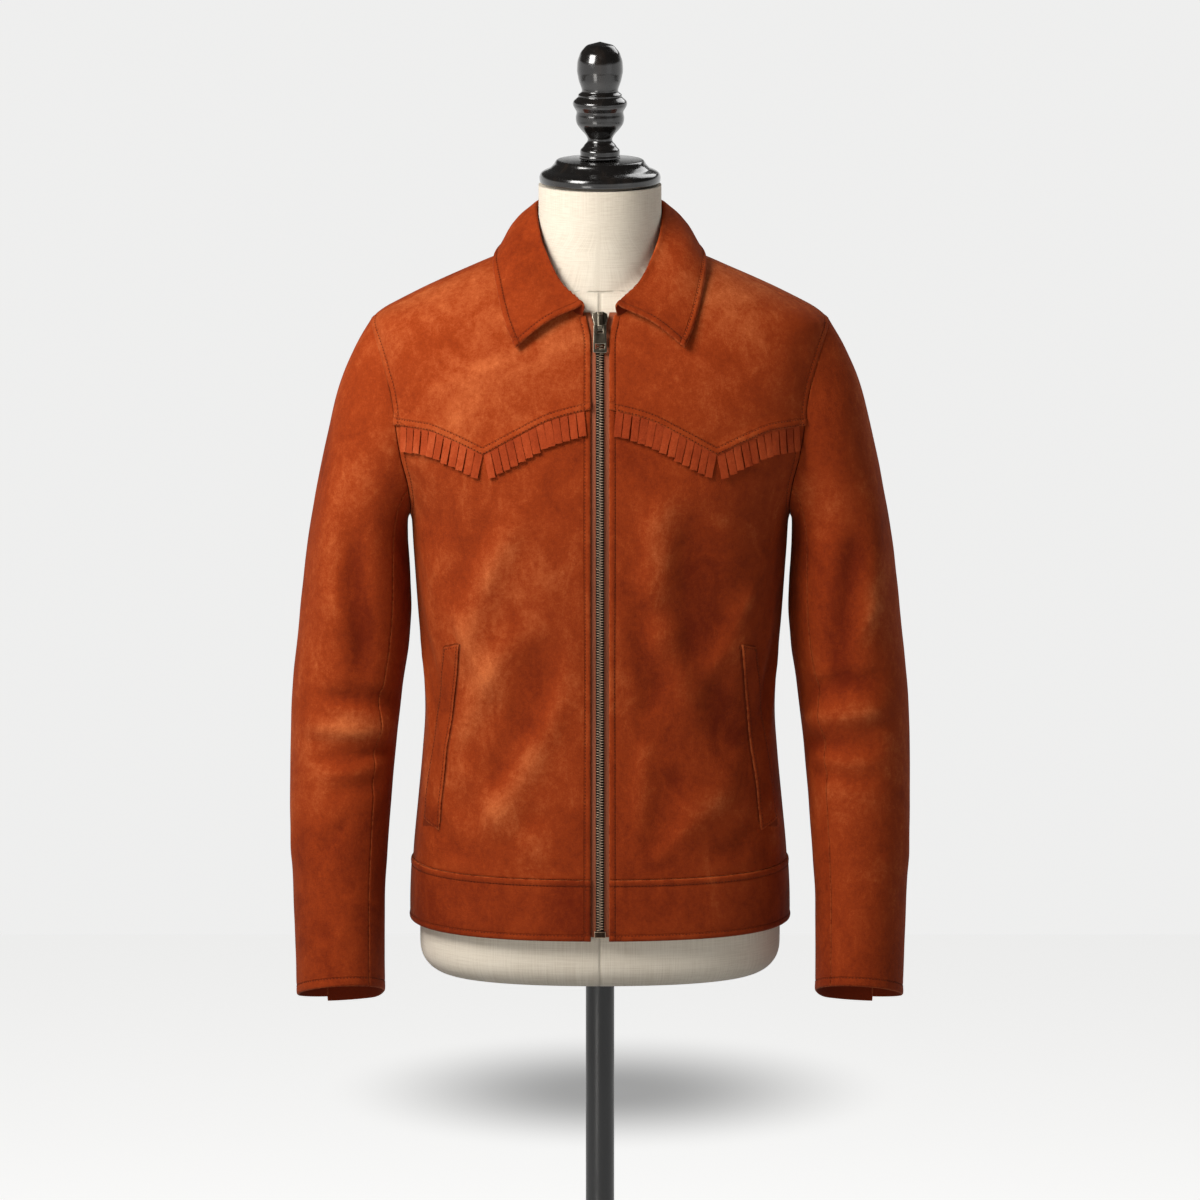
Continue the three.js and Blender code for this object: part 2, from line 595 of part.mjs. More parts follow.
// A comb of strands under the yoke's edge: the roots share one narrow strip, and each strand
// leans a little with the edge.
function fringe(side) {
  const points = [];
  const index = [];
  const count = FRINGE_STRANDS_INSIDE + FRINGE_STRANDS_OUTSIDE;
  const cutAt = (i) =>
    i <= FRINGE_STRANDS_INSIDE
      ? lerp(FRINGE_FIRST_X, YOKE_POINT_X, i / FRINGE_STRANDS_INSIDE)
      : lerp(YOKE_POINT_X, FRINGE_LAST_X, (i - FRINGE_STRANDS_INSIDE) / FRINGE_STRANDS_OUTSIDE);
  const leanAt = (x, inside) => {
    const edge = inside ? yokeInnerZ : yokeOuterZ;
    return (FRINGE_LEAN * (edge(x + 1) - edge(x - 1))) / 2;
  };
  const slitAt = (i) => (i % 5 === 2 || Math.abs(i - FRINGE_STRANDS_INSIDE) < 2 ? SLIT_OPEN : SLIT);
  const point = (x, lean, drop, out) => {
    const down = drop / Math.hypot(1, lean);
    const z = yokeZ(x) - FRINGE_BELOW - down;
    points.push(jacketPoint(side * turnAt(x + lean * down, z), z, out));
    return points.length - 1;
  };
  const column = (x, lean, drop) => [
    point(x, lean, drop, FRINGE_OVER + FRINGE_THICK),
    point(x, lean, drop, FRINGE_OVER),
  ];
  const quad = (a, b, c, d) => index.push(a, b, c, a, c, d);
  const faces = (a, b, c, d) => {
    quad(a[0], b[0], c[0], d[0]);
    quad(a[1], d[1], c[1], b[1]);
  };
  const wall = (a, b) => quad(b[0], a[0], a[1], b[1]);
  let topBefore = null;
  let footBefore = null;
  for (let i = 0; i < count; i += 1) {
    const inside = i < FRINGE_STRANDS_INSIDE;
    const left = cutAt(i) + (i === 0 ? 0 : slitAt(i) / 2);
    const right = cutAt(i + 1) - (i === count - 1 ? 0 : slitAt(i + 1) / 2);
    const leftLean = leanAt(cutAt(i), inside);
    const rightLean = leanAt(cutAt(i + 1), inside);
    const length = FRINGE_LENGTH + FRINGE_UNEVEN * Math.sin(2.3 * i + side);
    const top = [column(left, leftLean, 0), column(right, rightLean, 0)];
    const root = [column(left, leftLean, FRINGE_STRIP), column(right, rightLean, FRINGE_STRIP)];
    const end = [column(left, leftLean, length), column(right, rightLean, length)];
    faces(root[0], root[1], top[1], top[0]);
    faces(end[0], end[1], root[1], root[0]);
    wall(end[0], end[1]);
    wall(root[0], end[0]);
    wall(end[1], root[1]);
    wall(top[1], top[0]);
    if (topBefore) {
      faces(footBefore, root[0], top[0], topBefore);
      wall(footBefore, root[0]);
      wall(top[0], topBefore);
    } else {
      wall(top[0], root[0]);
    }
    if (i === count - 1) wall(root[1], top[1]);
    topBefore = top[1];
    footBefore = root[1];
  }
  return closedGeometry(points, index);
}

// Sleeve rings
const sleeveRows = SLEEVE.map((row, i) => ({ ...row, t: i / (SLEEVE.length - 1) }));
const sleeveKeys = ["outX", "outZ", "inX", "inZ", "midY", "depth", "lean"];
const sleeveCurve = Object.fromEntries(sleeveKeys.map((key) => [key, curveThrough(sleeveRows, "t", key)]));

function sleeveEllipse(turn, t) {
  const a = turn * DEGREE;
  const out = vector(sleeveCurve.outX(t), sleeveCurve.midY(t), sleeveCurve.outZ(t));
  const inside = vector(sleeveCurve.inX(t), sleeveCurve.midY(t), sleeveCurve.inZ(t));
  const middle = out.clone().add(inside).multiplyScalar(0.5);
  const across = out.clone().sub(inside).multiplyScalar(0.5);
  const lean = sleeveCurve.lean(t) * DEGREE;
  const forward = vector(0, -Math.cos(lean), Math.sin(lean)).multiplyScalar(sleeveCurve.depth(t));
  return middle.addScaledVector(across, Math.cos(a)).addScaledVector(forward, Math.sin(a));
}

// The armhole's edge by the sleeve's own turn, just off the body.
function armholeRing(turn) {
  const a = turn * DEGREE;
  const bodyTurn = 90 - ARMHOLE_TURN * Math.sin(a);
  const z = ARMHOLE_MIDDLE_Z + ARMHOLE_HALF_Z * Math.cos(a);
  const away = torsoPoint(bodyTurn, z).sub(torsoPoint(90, ARMHOLE_MIDDLE_Z));
  away.x = 0;
  const inward = away.normalize().multiplyScalar(-ARMHOLE_GAP * 0.5);
  return torsoPoint(bodyTurn, z).addScaledVector(torsoNormal(bodyTurn, z), ARMHOLE_GAP).add(inward);
}

// The sleeve's smooth surface: the rings, eased at their top to the armhole's own form.
function sleeveSurface(turn, t) {
  const ease = 1 - smoothstep(t, 0, ARMHOLE_BLEND);
  const shift = armholeRing(turn).sub(sleeveEllipse(turn, 0)).multiplyScalar(ease);
  return sleeveEllipse(turn, t).add(shift);
}

function sleevePoint(turn, t, folds, out) {
  const point = sleeveSurface(turn, t);
  const round = sleeveSurface(turn + 1, t).sub(sleeveSurface(turn - 1, t));
  const down = sleeveSurface(turn, Math.min(t + 0.01, 1)).sub(sleeveSurface(turn, Math.max(t - 0.01, 0)));
  const normal = round.cross(down).normalize();
  const facingBody = smoothstep(-Math.cos(turn * DEGREE), 0.6, 0.9);
  const clear = lerp(1, smoothstep(t, 0.55, 0.7), facingBody);
  const calm = smoothstep(t, 0.12, 0.3) * (1 - smoothstep(t, 0.9, 0.98)) * clear;
  const fold = calm * foldHeight(folds, turn, point.z, SLEEVE_MM_PER_DEGREE);
  return point.addScaledVector(normal, fold + out);
}

function sleevePart(side, fromTurn, toTurn, columns) {
  const folds = side > 0 ? SLEEVE_FOLDS.left : SLEEVE_FOLDS.right;
  const first = fromTurn + SLEEVE_SEAM_SHIFT;
  const last = toTurn - SLEEVE_SEAM_SHIFT;
  const lift = (out) =>
    SLEEVE_RINGS.map((t) =>
      steps(columns).map((u) => {
        const point = sleevePoint(lerp(first, last, u), t, folds, out);
        point.x *= side;
        return point;
      }),
    );
  return slab(lift(0), lift(-SUEDE));
}

// Collar: one piece that rises from the neckline, rolls over and falls to its edge.
const collarFootTurn = curveThrough(COLLAR_FOOT, "along", "turn");
const spaceCurve = (rows) => {
  const across = { ...rows[1], along: -rows[1].along, x: -rows[1].x };
  const [x, y, z] = ["x", "y", "z"].map((key) => curveThrough([across, ...rows], "along", key));
  return (along) => vector(x(along), y(along), z(along));
};
const collarRoll = spaceCurve(COLLAR_ROLL);
const collarEdge = spaceCurve(COLLAR_EDGE);
const neckPoint = (turn) => torsoPoint(turn, necklineZ(turn));

function collarSection(along) {
  const turn = collarFootTurn(along);
  const edgePoint = neckPoint(turn);
  const tangent = neckPoint(Math.max(turn - 1, 4)).sub(neckPoint(Math.min(turn + 1, 180))).normalize();
  const surface = torsoNormal(turn, necklineZ(turn));
  const intoNeck = surface.clone().cross(tangent).normalize();
  if (intoNeck.z < 0) intoNeck.negate();
  const roll = collarRoll(along);
  const fall = collarEdge(along);
  const outward = fall.clone().sub(roll).setZ(0).normalize();
  const rise = roll.clone().sub(edgePoint).normalize();
  const thick = tangent.clone().cross(rise).normalize();
  if (thick.dot(outward) < 0) thick.negate();
  const foot = edgePoint.clone().addScaledVector(intoNeck, COLLAR_GAP).addScaledVector(thick, -SUEDE);
  const up = vector(0, 0, 1);
  const beforeRoll = roll.clone().addScaledVector(outward, -2).addScaledVector(up, -3.5);
  const afterRoll = roll.clone().addScaledVector(outward, 4.6).addScaledVector(up, -3);
  const crown = afterRoll.clone().lerp(fall, 0.45).addScaledVector(outward, 2.5).addScaledVector(up, 3.5);
  const middle = foot.clone().lerp(beforeRoll, 0.5);
  const path = [foot, middle, beforeRoll, roll, afterRoll, crown, fall];
  return new THREE.CatmullRomCurve3(path, false, "centripetal");
}

function collar() {
  const across = [0, 0.2, 0.36, 0.43, 0.47, 0.51, 0.56, 0.66, 0.77, 0.88, 1];
  const alongSteps = 15;
  const grid = [];
  for (let i = -alongSteps; i <= alongSteps; i += 1) {
    const section = collarSection(Math.abs(i) / alongSteps);
    grid.push(
      across.map((share) => {
        const point = section.getPointAt(share);
        if (i < 0) point.x = -point.x;
        return point;
      }),
    );
  }
  return freeWall(grid, SUEDE, 1);
}

// Dress form: the body's smooth surface drawn in, flat at the arm plates, and joined to a round neck.
const formEase = curveThrough(FORM_EASE, "z", "ease");
const armPlateX = curveThrough(FORM_ARM_PLATE, "z", "x");
const FORM_ROUND_ROWS = 4;
const FORM_SHOULDER_ROWS = [
  1430, 1440, 1448, 1456, 1464, 1472, 1480, 1488, 1496, 1504, 1511, 1522, 1545, FORM_TOP_Z,
];
const FORM_COLUMNS = 36;

function formPoint(turn, z, inset) {
  const front = Math.max(Math.cos(turn * DEGREE), 0) ** 2;
  const ease = formEase(z) + FORM_FRONT_EASE * front + inset;
  const point = torsoPoint(turn, z).addScaledVector(torsoNormal(turn, z), -ease);
  if (z > FORM_ARM_PLATE[0].z) point.x = clamp(point.x, -armPlateX(z), armPlateX(z));
  const angle = z > NECK_SIDE_Z ? turn * DEGREE : Math.atan2(point.x, -point.y);
  const neck = vector(NECK_RADIUS * Math.sin(angle), -NECK_RADIUS * Math.cos(angle), z);
  if (z > NECK_SIDE_Z || (z > NECK_FRONT_Z && Math.hypot(point.x, point.y) < NECK_RADIUS)) return neck;
  return point;
}

function formTorso() {
  const rounded = steps(FORM_ROUND_ROWS).map((v) => ({
    z: FORM_BOTTOM_Z + FORM_ROUND * (1 - Math.cos((v * Math.PI) / 2)),
    inset: FORM_ROUND * (1 - Math.sin((v * Math.PI) / 2)),
  }));
  const straight = [];
  for (let z = 850; z < 1425; z += 50) straight.push({ z, inset: 0 });
  const rows = [...rounded, ...straight, ...FORM_SHOULDER_ROWS.map((z) => ({ z, inset: 0 }))];
  const points = [];
  for (const { z, inset } of rows) {
    for (let c = 0; c < FORM_COLUMNS; c += 1) points.push(formPoint((360 * c) / FORM_COLUMNS, z, inset));
  }
  const index = [];
  const at = (r, c) => r * FORM_COLUMNS + (c % FORM_COLUMNS);
  for (let r = 0; r < rows.length - 1; r += 1) {
    for (let c = 0; c < FORM_COLUMNS; c += 1) {
      index.push(at(r, c), at(r, c + 1), at(r + 1, c + 1), at(r, c), at(r + 1, c + 1), at(r + 1, c));
    }
  }
  const last = rows.length - 1;
  const bottom = points.push(vector(0, 0, FORM_BOTTOM_Z)) - 1;
  const top = points.push(vector(0, 0, FORM_TOP_Z)) - 1;
  for (let c = 0; c < FORM_COLUMNS; c += 1) {
    index.push(bottom, at(0, c + 1), at(0, c));
    index.push(top, at(last, c), at(last, c + 1));
  }
  return closedGeometry(points, index);
}

// A turned piece from rows of radius and height.
function turned(profile, segments) {
  const geometry = new THREE.LatheGeometry(profile.map(({ r, z }) => new THREE.Vector2(r, z)), segments);
  return geometry.rotateX(Math.PI / 2);
}

// Zip
function tapeWall(side) {
  const top = NECK_FRONT_Z + 3;
  const grid = steps(18).map((v) => {
    const z = lerp(TAPE_BOTTOM_Z, top, v);
    const edge = frontEdgeX(z);
    return steps(2).map((u) => [side * turnAt(lerp(edge - TAPE_REVEAL, edge + TAPE_UNDER, u), z), z]);
  });
  return bodyWall(grid, -SUEDE - TAPE_BEHIND, TAPE);
}

function chainWall() {
  const grid = steps(18).map((v) => {
    const z = lerp(CHAIN_BOTTOM_Z, CHAIN_TOP_Z, v);
    const turn = turnAt(CHAIN_HALF, z);
    return [-turn, 0, turn].map((value) => [value, z]);
  });
  return bodyWall(grid, CHAIN_PROUD, CHAIN_PROUD + SUEDE);
}

// A frame on the centre front: local -Y points out of the cloth and local +Z up along it.
function centreFrontFrame(z) {
  const slope = Math.atan2(torsoPoint(0, z + 5).y - torsoPoint(0, z - 5).y, 10);
  const frame = new THREE.Group();
  frame.position.copy(torsoPoint(0, z));
  frame.rotation.x = -slope;
  return frame;
}

// Extrudes an outline drawn in local X and Z outwards, from one distance to another.
function plate(outline, from, to) {
  const geometry = new THREE.ExtrudeGeometry(outline, { depth: to - from, bevelEnabled: false });
  return geometry.translate(0, 0, from).rotateX(Math.PI / 2);
}

function outline(corners) {
  return new THREE.Shape(corners.map(([x, z]) => new THREE.Vector2(x, z)));
}

const rectangle = (halfX, low, high) => [[-halfX, low], [halfX, low], [halfX, high], [-halfX, high]];

const SLIDER_BACK = -SUEDE; // behind the cloth's outer surface
const SLIDER_FRONT = 3.8; // in front of it
const SLIDER_SIDE = [[4.6, -10.2], [6.2, -2], [7.6, 3], [7.2, 7], [3.5, 9]]; // its outline's right half
const ARCH = { half: 2.2, root: 3, low: -8, high: 8, wall: 1.4, front: 7.4, frontWall: 1.2 };
const HINGE = { out: 5, up: ARCH.low + ARCH.wall + 1.2 };
const PULL = { bar: 0.65, hole: 3, holeEnd: 8.2, topHalf: 6.2, footHalf: 6.9, length: 27.8, restTurn: 3.5 };
const PULL_WINDOW = { half: 4.6, from: 18.8, to: 24 };

function solid(geometry) {
  const bare = geometry.clone();
  bare.deleteAttribute("normal");
  bare.deleteAttribute("uv");
  const merged = mergeVertices(bare, 1e-4);
  const vertProperties = new Float32Array(merged.attributes.position.array);
  const triVerts = new Uint32Array(merged.index.array);
  return new wasm.Manifold(new wasm.Mesh({ numProp: 3, vertProperties, triVerts }));
}

function geometryOf(body) {
  const mesh = body.getMesh();
  const geometry = new THREE.BufferGeometry();
  geometry.setAttribute("position", new THREE.Float32BufferAttribute(Array.from(mesh.vertProperties), 3));
  geometry.setIndex(Array.from(mesh.triVerts));
  geometry.computeVertexNormals();
  return geometry;
}

// Slider body with the arch that the pull hangs from.
function sliderGeometry() {
  const leftSide = SLIDER_SIDE.map(([x, z]) => [-x, z]).reverse();
  const body = outline([...SLIDER_SIDE, ...leftSide]);
  const arch = outline([
    [ARCH.root, ARCH.low],
    [ARCH.front - 1.5, ARCH.low],
    [ARCH.front, ARCH.low + 1.5],
    [ARCH.front, ARCH.high - 2.5],
    [ARCH.front - 2.5, ARCH.high],
    [ARCH.root, ARCH.high],
  ]);
  const hollow = outline([
    [SLIDER_FRONT, ARCH.low + ARCH.wall],
    [ARCH.front - ARCH.frontWall, ARCH.low + ARCH.wall],
    [ARCH.front - ARCH.frontWall, ARCH.high - 3],
    [SLIDER_FRONT, ARCH.high - ARCH.wall],
  ]);
  arch.holes.push(hollow);
  const sideways = new THREE.Matrix4().makeBasis(vector(0, -1, 0), vector(0, 0, 1), vector(-1, 0, 0));
  const bridge = new THREE.ExtrudeGeometry(arch, { depth: 2 * ARCH.half, bevelEnabled: false });
  bridge.translate(0, 0, -ARCH.half).applyMatrix4(sideways);
  return geometryOf(solid(plate(body, SLIDER_BACK, SLIDER_FRONT)).add(solid(bridge)));
}

function pullGeometry() {
  const tab = outline([
    [-PULL.topHalf, PULL.bar],
    [-PULL.footHalf, 1.2 - PULL.length],
    [1.2 - PULL.footHalf, -PULL.length],
    [PULL.footHalf - 1.2, -PULL.length],
    [PULL.footHalf, 1.2 - PULL.length],
    [PULL.topHalf, PULL.bar],
  ]);
  tab.holes.push(outline(rectangle(PULL.hole, -PULL.holeEnd, -PULL.bar)));
  tab.holes.push(outline(rectangle(PULL_WINDOW.half, -PULL_WINDOW.to, -PULL_WINDOW.from)));
  return plate(tab, -PULL.bar, PULL.bar);
}

const part = new THREE.Group();

function add(name, geometry, finish, parent = part) {
  const mesh = new THREE.Mesh(geometry, new THREE.MeshStandardMaterial(MATERIALS[finish]));
  mesh.name = name;
  parent.add(mesh);
  return mesh;
}

// Stand and form
add("stand_base", turned(BASE_PROFILE, 36), "iron");
const pole = [
  { r: 0, z: HUB_TOP_Z + SEAM_GAP },
  { r: POLE_RADIUS, z: HUB_TOP_Z + SEAM_GAP },
  { r: POLE_RADIUS, z: FORM_BOTTOM_Z - SEAM_GAP },
  { r: 0, z: FORM_BOTTOM_Z - SEAM_GAP },
];
add("stand_pole", turned(pole, 20), "iron");
add("form_torso", formTorso(), "linen");
add("neck_cap", turned(CAP_PROFILE, 32), "lacquer");
add("finial", turned(FINIAL_PROFILE, 18), "lacquer");

// Jacket body
for (const [name, side] of [["right", -1], ["left", 1]]) {
  const edge = turnAt(FRONT_EDGE, HEM_Z);
  add("front_" + name, frontPanel(side), "suede");
  add("yoke_" + name, yokePanel(side), "suede");
  add("waistband_front_" + name, waistband(side * edge, side * (90 - SEAM_SHIFT), 12), "suede");
  add("pocket_welt_" + name, pocketWelt(side), "suede");
  add("fringe_" + name, fringe(side), "suedeFringe");
  add("topsleeve_" + name, sleevePart(side, BACK_SEAM_TURN - 360, FRONT_SEAM_TURN, 14), "suede");
  add("undersleeve_" + name, sleevePart(side, FRONT_SEAM_TURN, BACK_SEAM_TURN, 10), "suede");
  add("zip_tape_" + name, tapeWall(side), "tape");
}
add("back", backPanel(), "suede");
add("waistband_back", waistband(90 + SEAM_SHIFT, 270 - SEAM_SHIFT, 22), "suede");
add("collar", collar(), "suede");

// Zip hardware
add("zip_chain", chainWall(), "brass");
const boxFrame = centreFrontFrame(BOX_Z);
add("zip_box", plate(outline(rectangle(5.6, -3, 3)), SLIDER_BACK, 1.6), "brass", boxFrame);
part.add(boxFrame);
const sliderFrame = centreFrontFrame(SLIDER_Z);
add("zip_slider", sliderGeometry(), "brass", sliderFrame);
const pull = add("zip_pull", pullGeometry(), "brass", sliderFrame);
pull.position.set(0, -HINGE.out, HINGE.up);
pull.rotation.x = PULL.restTurn * DEGREE;
part.add(sliderFrame);

export default part;
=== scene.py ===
"""Suede jacket with a fringed yoke on a limbless dress form, dressed over its solid frame."""
import functools
import logging
import math
from dataclasses import dataclass, field
from enum import Enum
from typing import Any, Callable, Sequence

import bmesh
import bpy
import numpy as np
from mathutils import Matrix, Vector


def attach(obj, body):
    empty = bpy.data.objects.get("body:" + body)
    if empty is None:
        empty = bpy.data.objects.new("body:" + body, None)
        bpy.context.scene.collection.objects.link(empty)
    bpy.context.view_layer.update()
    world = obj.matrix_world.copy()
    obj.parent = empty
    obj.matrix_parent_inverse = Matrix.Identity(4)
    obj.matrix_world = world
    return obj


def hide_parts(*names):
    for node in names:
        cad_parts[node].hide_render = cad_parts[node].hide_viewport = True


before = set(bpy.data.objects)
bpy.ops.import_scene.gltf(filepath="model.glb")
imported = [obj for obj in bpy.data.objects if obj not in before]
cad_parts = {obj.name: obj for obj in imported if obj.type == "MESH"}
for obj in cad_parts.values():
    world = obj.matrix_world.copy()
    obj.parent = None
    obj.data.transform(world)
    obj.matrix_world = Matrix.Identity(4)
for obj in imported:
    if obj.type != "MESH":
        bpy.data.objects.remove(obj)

Array = np.ndarray
Colour = tuple[float, float, float]
Line = tuple[Array, Array]

MM = 0.001
BODY = "main"
PULL_BODY = "pull"
FAR = 50.0
# How much darker the suede's inner faces are painted: painted shade inside the jacket.
INSIDE_PAINTED_SHADE = 0.6
LOG = logging.getLogger("jacket")

# Walls
SUEDE = 1.8
SEAM_GAP = 0.3
COLLAR_GAP = 1.2

# Heights above the floor
FORM_BOTTOM_Z = 775.0
HEM_Z = 828.0
WAIST_SEAM_Z = 890.0
ARMPIT_Z = 1240.0
SHOULDER_Z = 1434.0
NECK_FRONT_Z = 1450.0
NECK_SIDE_Z = 1508.0
FORM_TOP_Z = 1569.0
NECK_RADIUS = 61.0

# Front opening
FRONT_EDGE = 9.0
FRONT_EDGE_TOP = 15.5
V_START_Z = 1424.0

# Sections of the body: height, half width, depth in front of and behind the side line
SQUARENESS = 0.05
TORSO_ROWS = (
    (770, 189.5, 128, 122),
    (844, 189.5, 128, 122),
    (893, 187.5, 127, 120),
    (948, 182.5, 124, 116),
    (999, 177.7, 121, 112),
    (1042, 175, 119.5, 110),
    (1087, 177, 121, 111),
    (1129, 181, 125, 116),
    (1208, 186.5, 130.5, 126),
    (1240, 188.5, 131.5, 130),
    (1272, 200, 130.5, 132.5),
    (1308, 218, 127, 133.5),
    (1340, 226, 122, 132),
    (1393, 229, 106, 123),
    (1434, 228.5, 86, 106),
    (1452.5, 200.5, 77, 96),
    (1472, 160.5, 62, 85),
    (1497, 103.5, 38, 71),
    (1512, 72, 12, 58),
    (1570, 40, 6, 30),
)
# Neckline: turn round the neck and height
NECKLINE_ROWS = ((4, NECK_FRONT_Z), (18.5, 1472), (41.5, 1497), (78, 1508), (120, 1508), (150, 1505), (180, 1503))
# Lower edge of the yoke: distance from the centre and height, on each side of its point
YOKE_POINT_X = 115.0
YOKE_END_X = 204.0
YOKE_INNER_ROWS = ((8, 1362.5), (48, 1352), (86, 1333), (YOKE_POINT_X, 1316.5))
YOKE_OUTER_ROWS = ((YOKE_POINT_X, 1316.5), (147, 1330), (171, 1337.5), (YOKE_END_X, 1339))
ARMHOLE_TURN = 30.0
SHOULDER_SEAM_TURN = 78.0
ARMHOLE_MIDDLE_Z = (ARMPIT_Z + SHOULDER_Z) / 2
ARMHOLE_HALF_Z = (SHOULDER_Z - ARMPIT_Z) / 2
SEAM_SHIFT = 0.12
# Sleeve rings: outer point x and z, inner point x and z, middle y, half depth, lean forward
SLEEVE_ROWS = (
    (229, 1434, 189.2, 1239.5, 2, 62, 0),
    (246, 1404, 191.2, 1235, 2, 65, 0),
    (260, 1369, 191.8, 1226, 2, 67, 0),
    (271, 1323, 191.6, 1212, 2, 68, 0),
    (281, 1275, 190.6, 1195, 2, 68, 0),
    (290, 1225, 189.2, 1172, 1, 67, 0),
    (297, 1170, 188.4, 1144, 0, 66, 1),
    (302, 1120, 190.8, 1108, -1, 64, 3),
    (307.5, 1068, 197, 1066, -4, 61, 6),
    (310, 1012, 203.5, 1010, -9, 59, 10),
    (310.5, 950, 208.5, 955, -18, 57, 13),
    (308.5, 890, 213, 895, -28, 54, 15),
    (306, 830, 215.5, 838, -38, 52, 16),
    (303.5, 757, 215.5, 762, -50, 50, 16),
)
FRONT_SEAM_TURN = 132.0
BACK_SEAM_TURN = 290.0
SLEEVE_SEAM_SHIFT = 0.18
ARMHOLE_BLEND = 0.28
# Collar: share from centre back to front end, then the foot's turn, or the roll's and edge's places
COLLAR_FOOT_ROWS = ((0, 180), (0.2, 145), (0.4, 95), (0.55, 62), (0.7, 40), (0.85, 20), (1, 4.4))
COLLAR_ROLL_ROWS = (
    (0, 0, 66, 1551),
    (0.2, 46, 49, 1551),
    (0.4, 64.5, 11, 1548),
    (0.55, 61, -27, 1527),
    (0.7, 49.5, -53, 1499),
    (0.8, 38.5, -67, 1481),
    (0.9, 26.5, -77, 1471),
    (1, 16.5, -85, 1462),
)
COLLAR_EDGE_ROWS = (
    (0, 0, 90, 1488),
    (0.2, 60, 76, 1493),
    (0.4, 102, 14, 1502),
    (0.55, 107, -26, 1494.5),
    (0.7, 102.5, -57, 1473),
    (0.8, 98, -74, 1455),
    (0.9, 91.5, -87, 1436),
    (1, 84, -98, 1420),
)
# Clearance of the form inside the jacket, and its flat arm plates, by height
FORM_EASE_ROWS = (
    (770, 8.6), (1180, 9.5), (1300, 7), (1400, 5), (1436, 4.2), (1455, 3.4), (1470, 3.3), (1490, 6), (1508, 11),
)
FORM_PLATE_ROWS = ((1170, 176), (1240, 173), (1300, 184), (1380, 196), (1434, 201), (1500, 201))
FORM_FRONT_EASE = 2.0


class Side(Enum):
    """The wearer's side of a piece; the value is the sign of its X."""

    RIGHT = -1
    LEFT = 1

    @property
    def word(self) -> str:
        """The side's part of a piece name."""
        return self.name.lower()


class Edge(Enum):
    """An edge of a panel, by where it lies in the panel's grid."""

    BOTTOM = "bottom"
    TOP = "top"
    INNER = "inner"
    OUTER = "outer"


@dataclass(frozen=True)
class EdgeFinish:
    """How one edge of a panel is turned and stitched, in millimetres."""

    stitch: float = 0.0
    roll: float = 0.7
    puff: float = 0.0
    lift: float = 0.0
    lift_width: float = 12.0
    low: float = -1e6
    high: float = 1e6


@dataclass(frozen=True)
class Fold:
    """A soft ridge or trough: two ends as turn and height, half width and height over the cloth."""

    turn: float
    z: float
    to_turn: float
    to_z: float
    width: float
    height: float


def smooth(value: Array, low: float, high: float) -> Array:
    """Eases from 0 at low to 1 at high.

    Args:
        value: Where to read the step.
        low: Where it starts.
        high: Where it ends.

    Returns:
        Values between 0 and 1.
    """
    x = np.clip((value - low) / (high - low), 0.0, 1.0)
    return x * x * (3 - 2 * x)


def unit(vectors: Array) -> Array:
    """Vectors of length one, along the last axis."""
    return vectors / np.maximum(np.linalg.norm(vectors, axis=-1, keepdims=True), 1e-9)


class Curve:
    """A smooth curve through a table's rows that never swings past them."""

    def __init__(self, rows: Sequence[Sequence[float]], column: int = 1) -> None:
        """Args: rows, a table whose first column is the place; column, the one to follow."""
        self.x = np.array([row[0] for row in rows], float)
        self.y = np.array([row[column] for row in rows], float)
        slope = np.diff(self.y) / np.diff(self.x)
        product = slope[:-1] * slope[1:]
        total = slope[:-1] + slope[1:]
        middle = np.where(product > 0, 2 * product / np.where(total == 0, 1, total), 0)
        self.tangent = np.concatenate([slope[:1], middle, slope[-1:]])

    def __call__(self, where: Any) -> Array:
        """Value of the curve.

        Args:
            where: A number or an array of places.

        Returns:
            The curve's value at each place.
        """
        v = np.clip(np.asarray(where, float), self.x[0], self.x[-1])
        i = np.clip(np.searchsorted(self.x, v, side="right") - 1, 0, len(self.x) - 2)
        span = self.x[i + 1] - self.x[i]
        t = (v - self.x[i]) / span
        start = (1 + 2 * t) * (1 - t) ** 2 * self.y[i] + t * (1 - t) ** 2 * span * self.tangent[i]
        return start + t * t * (3 - 2 * t) * self.y[i + 1] + t * t * (t - 1) * span * self.tangent[i + 1]


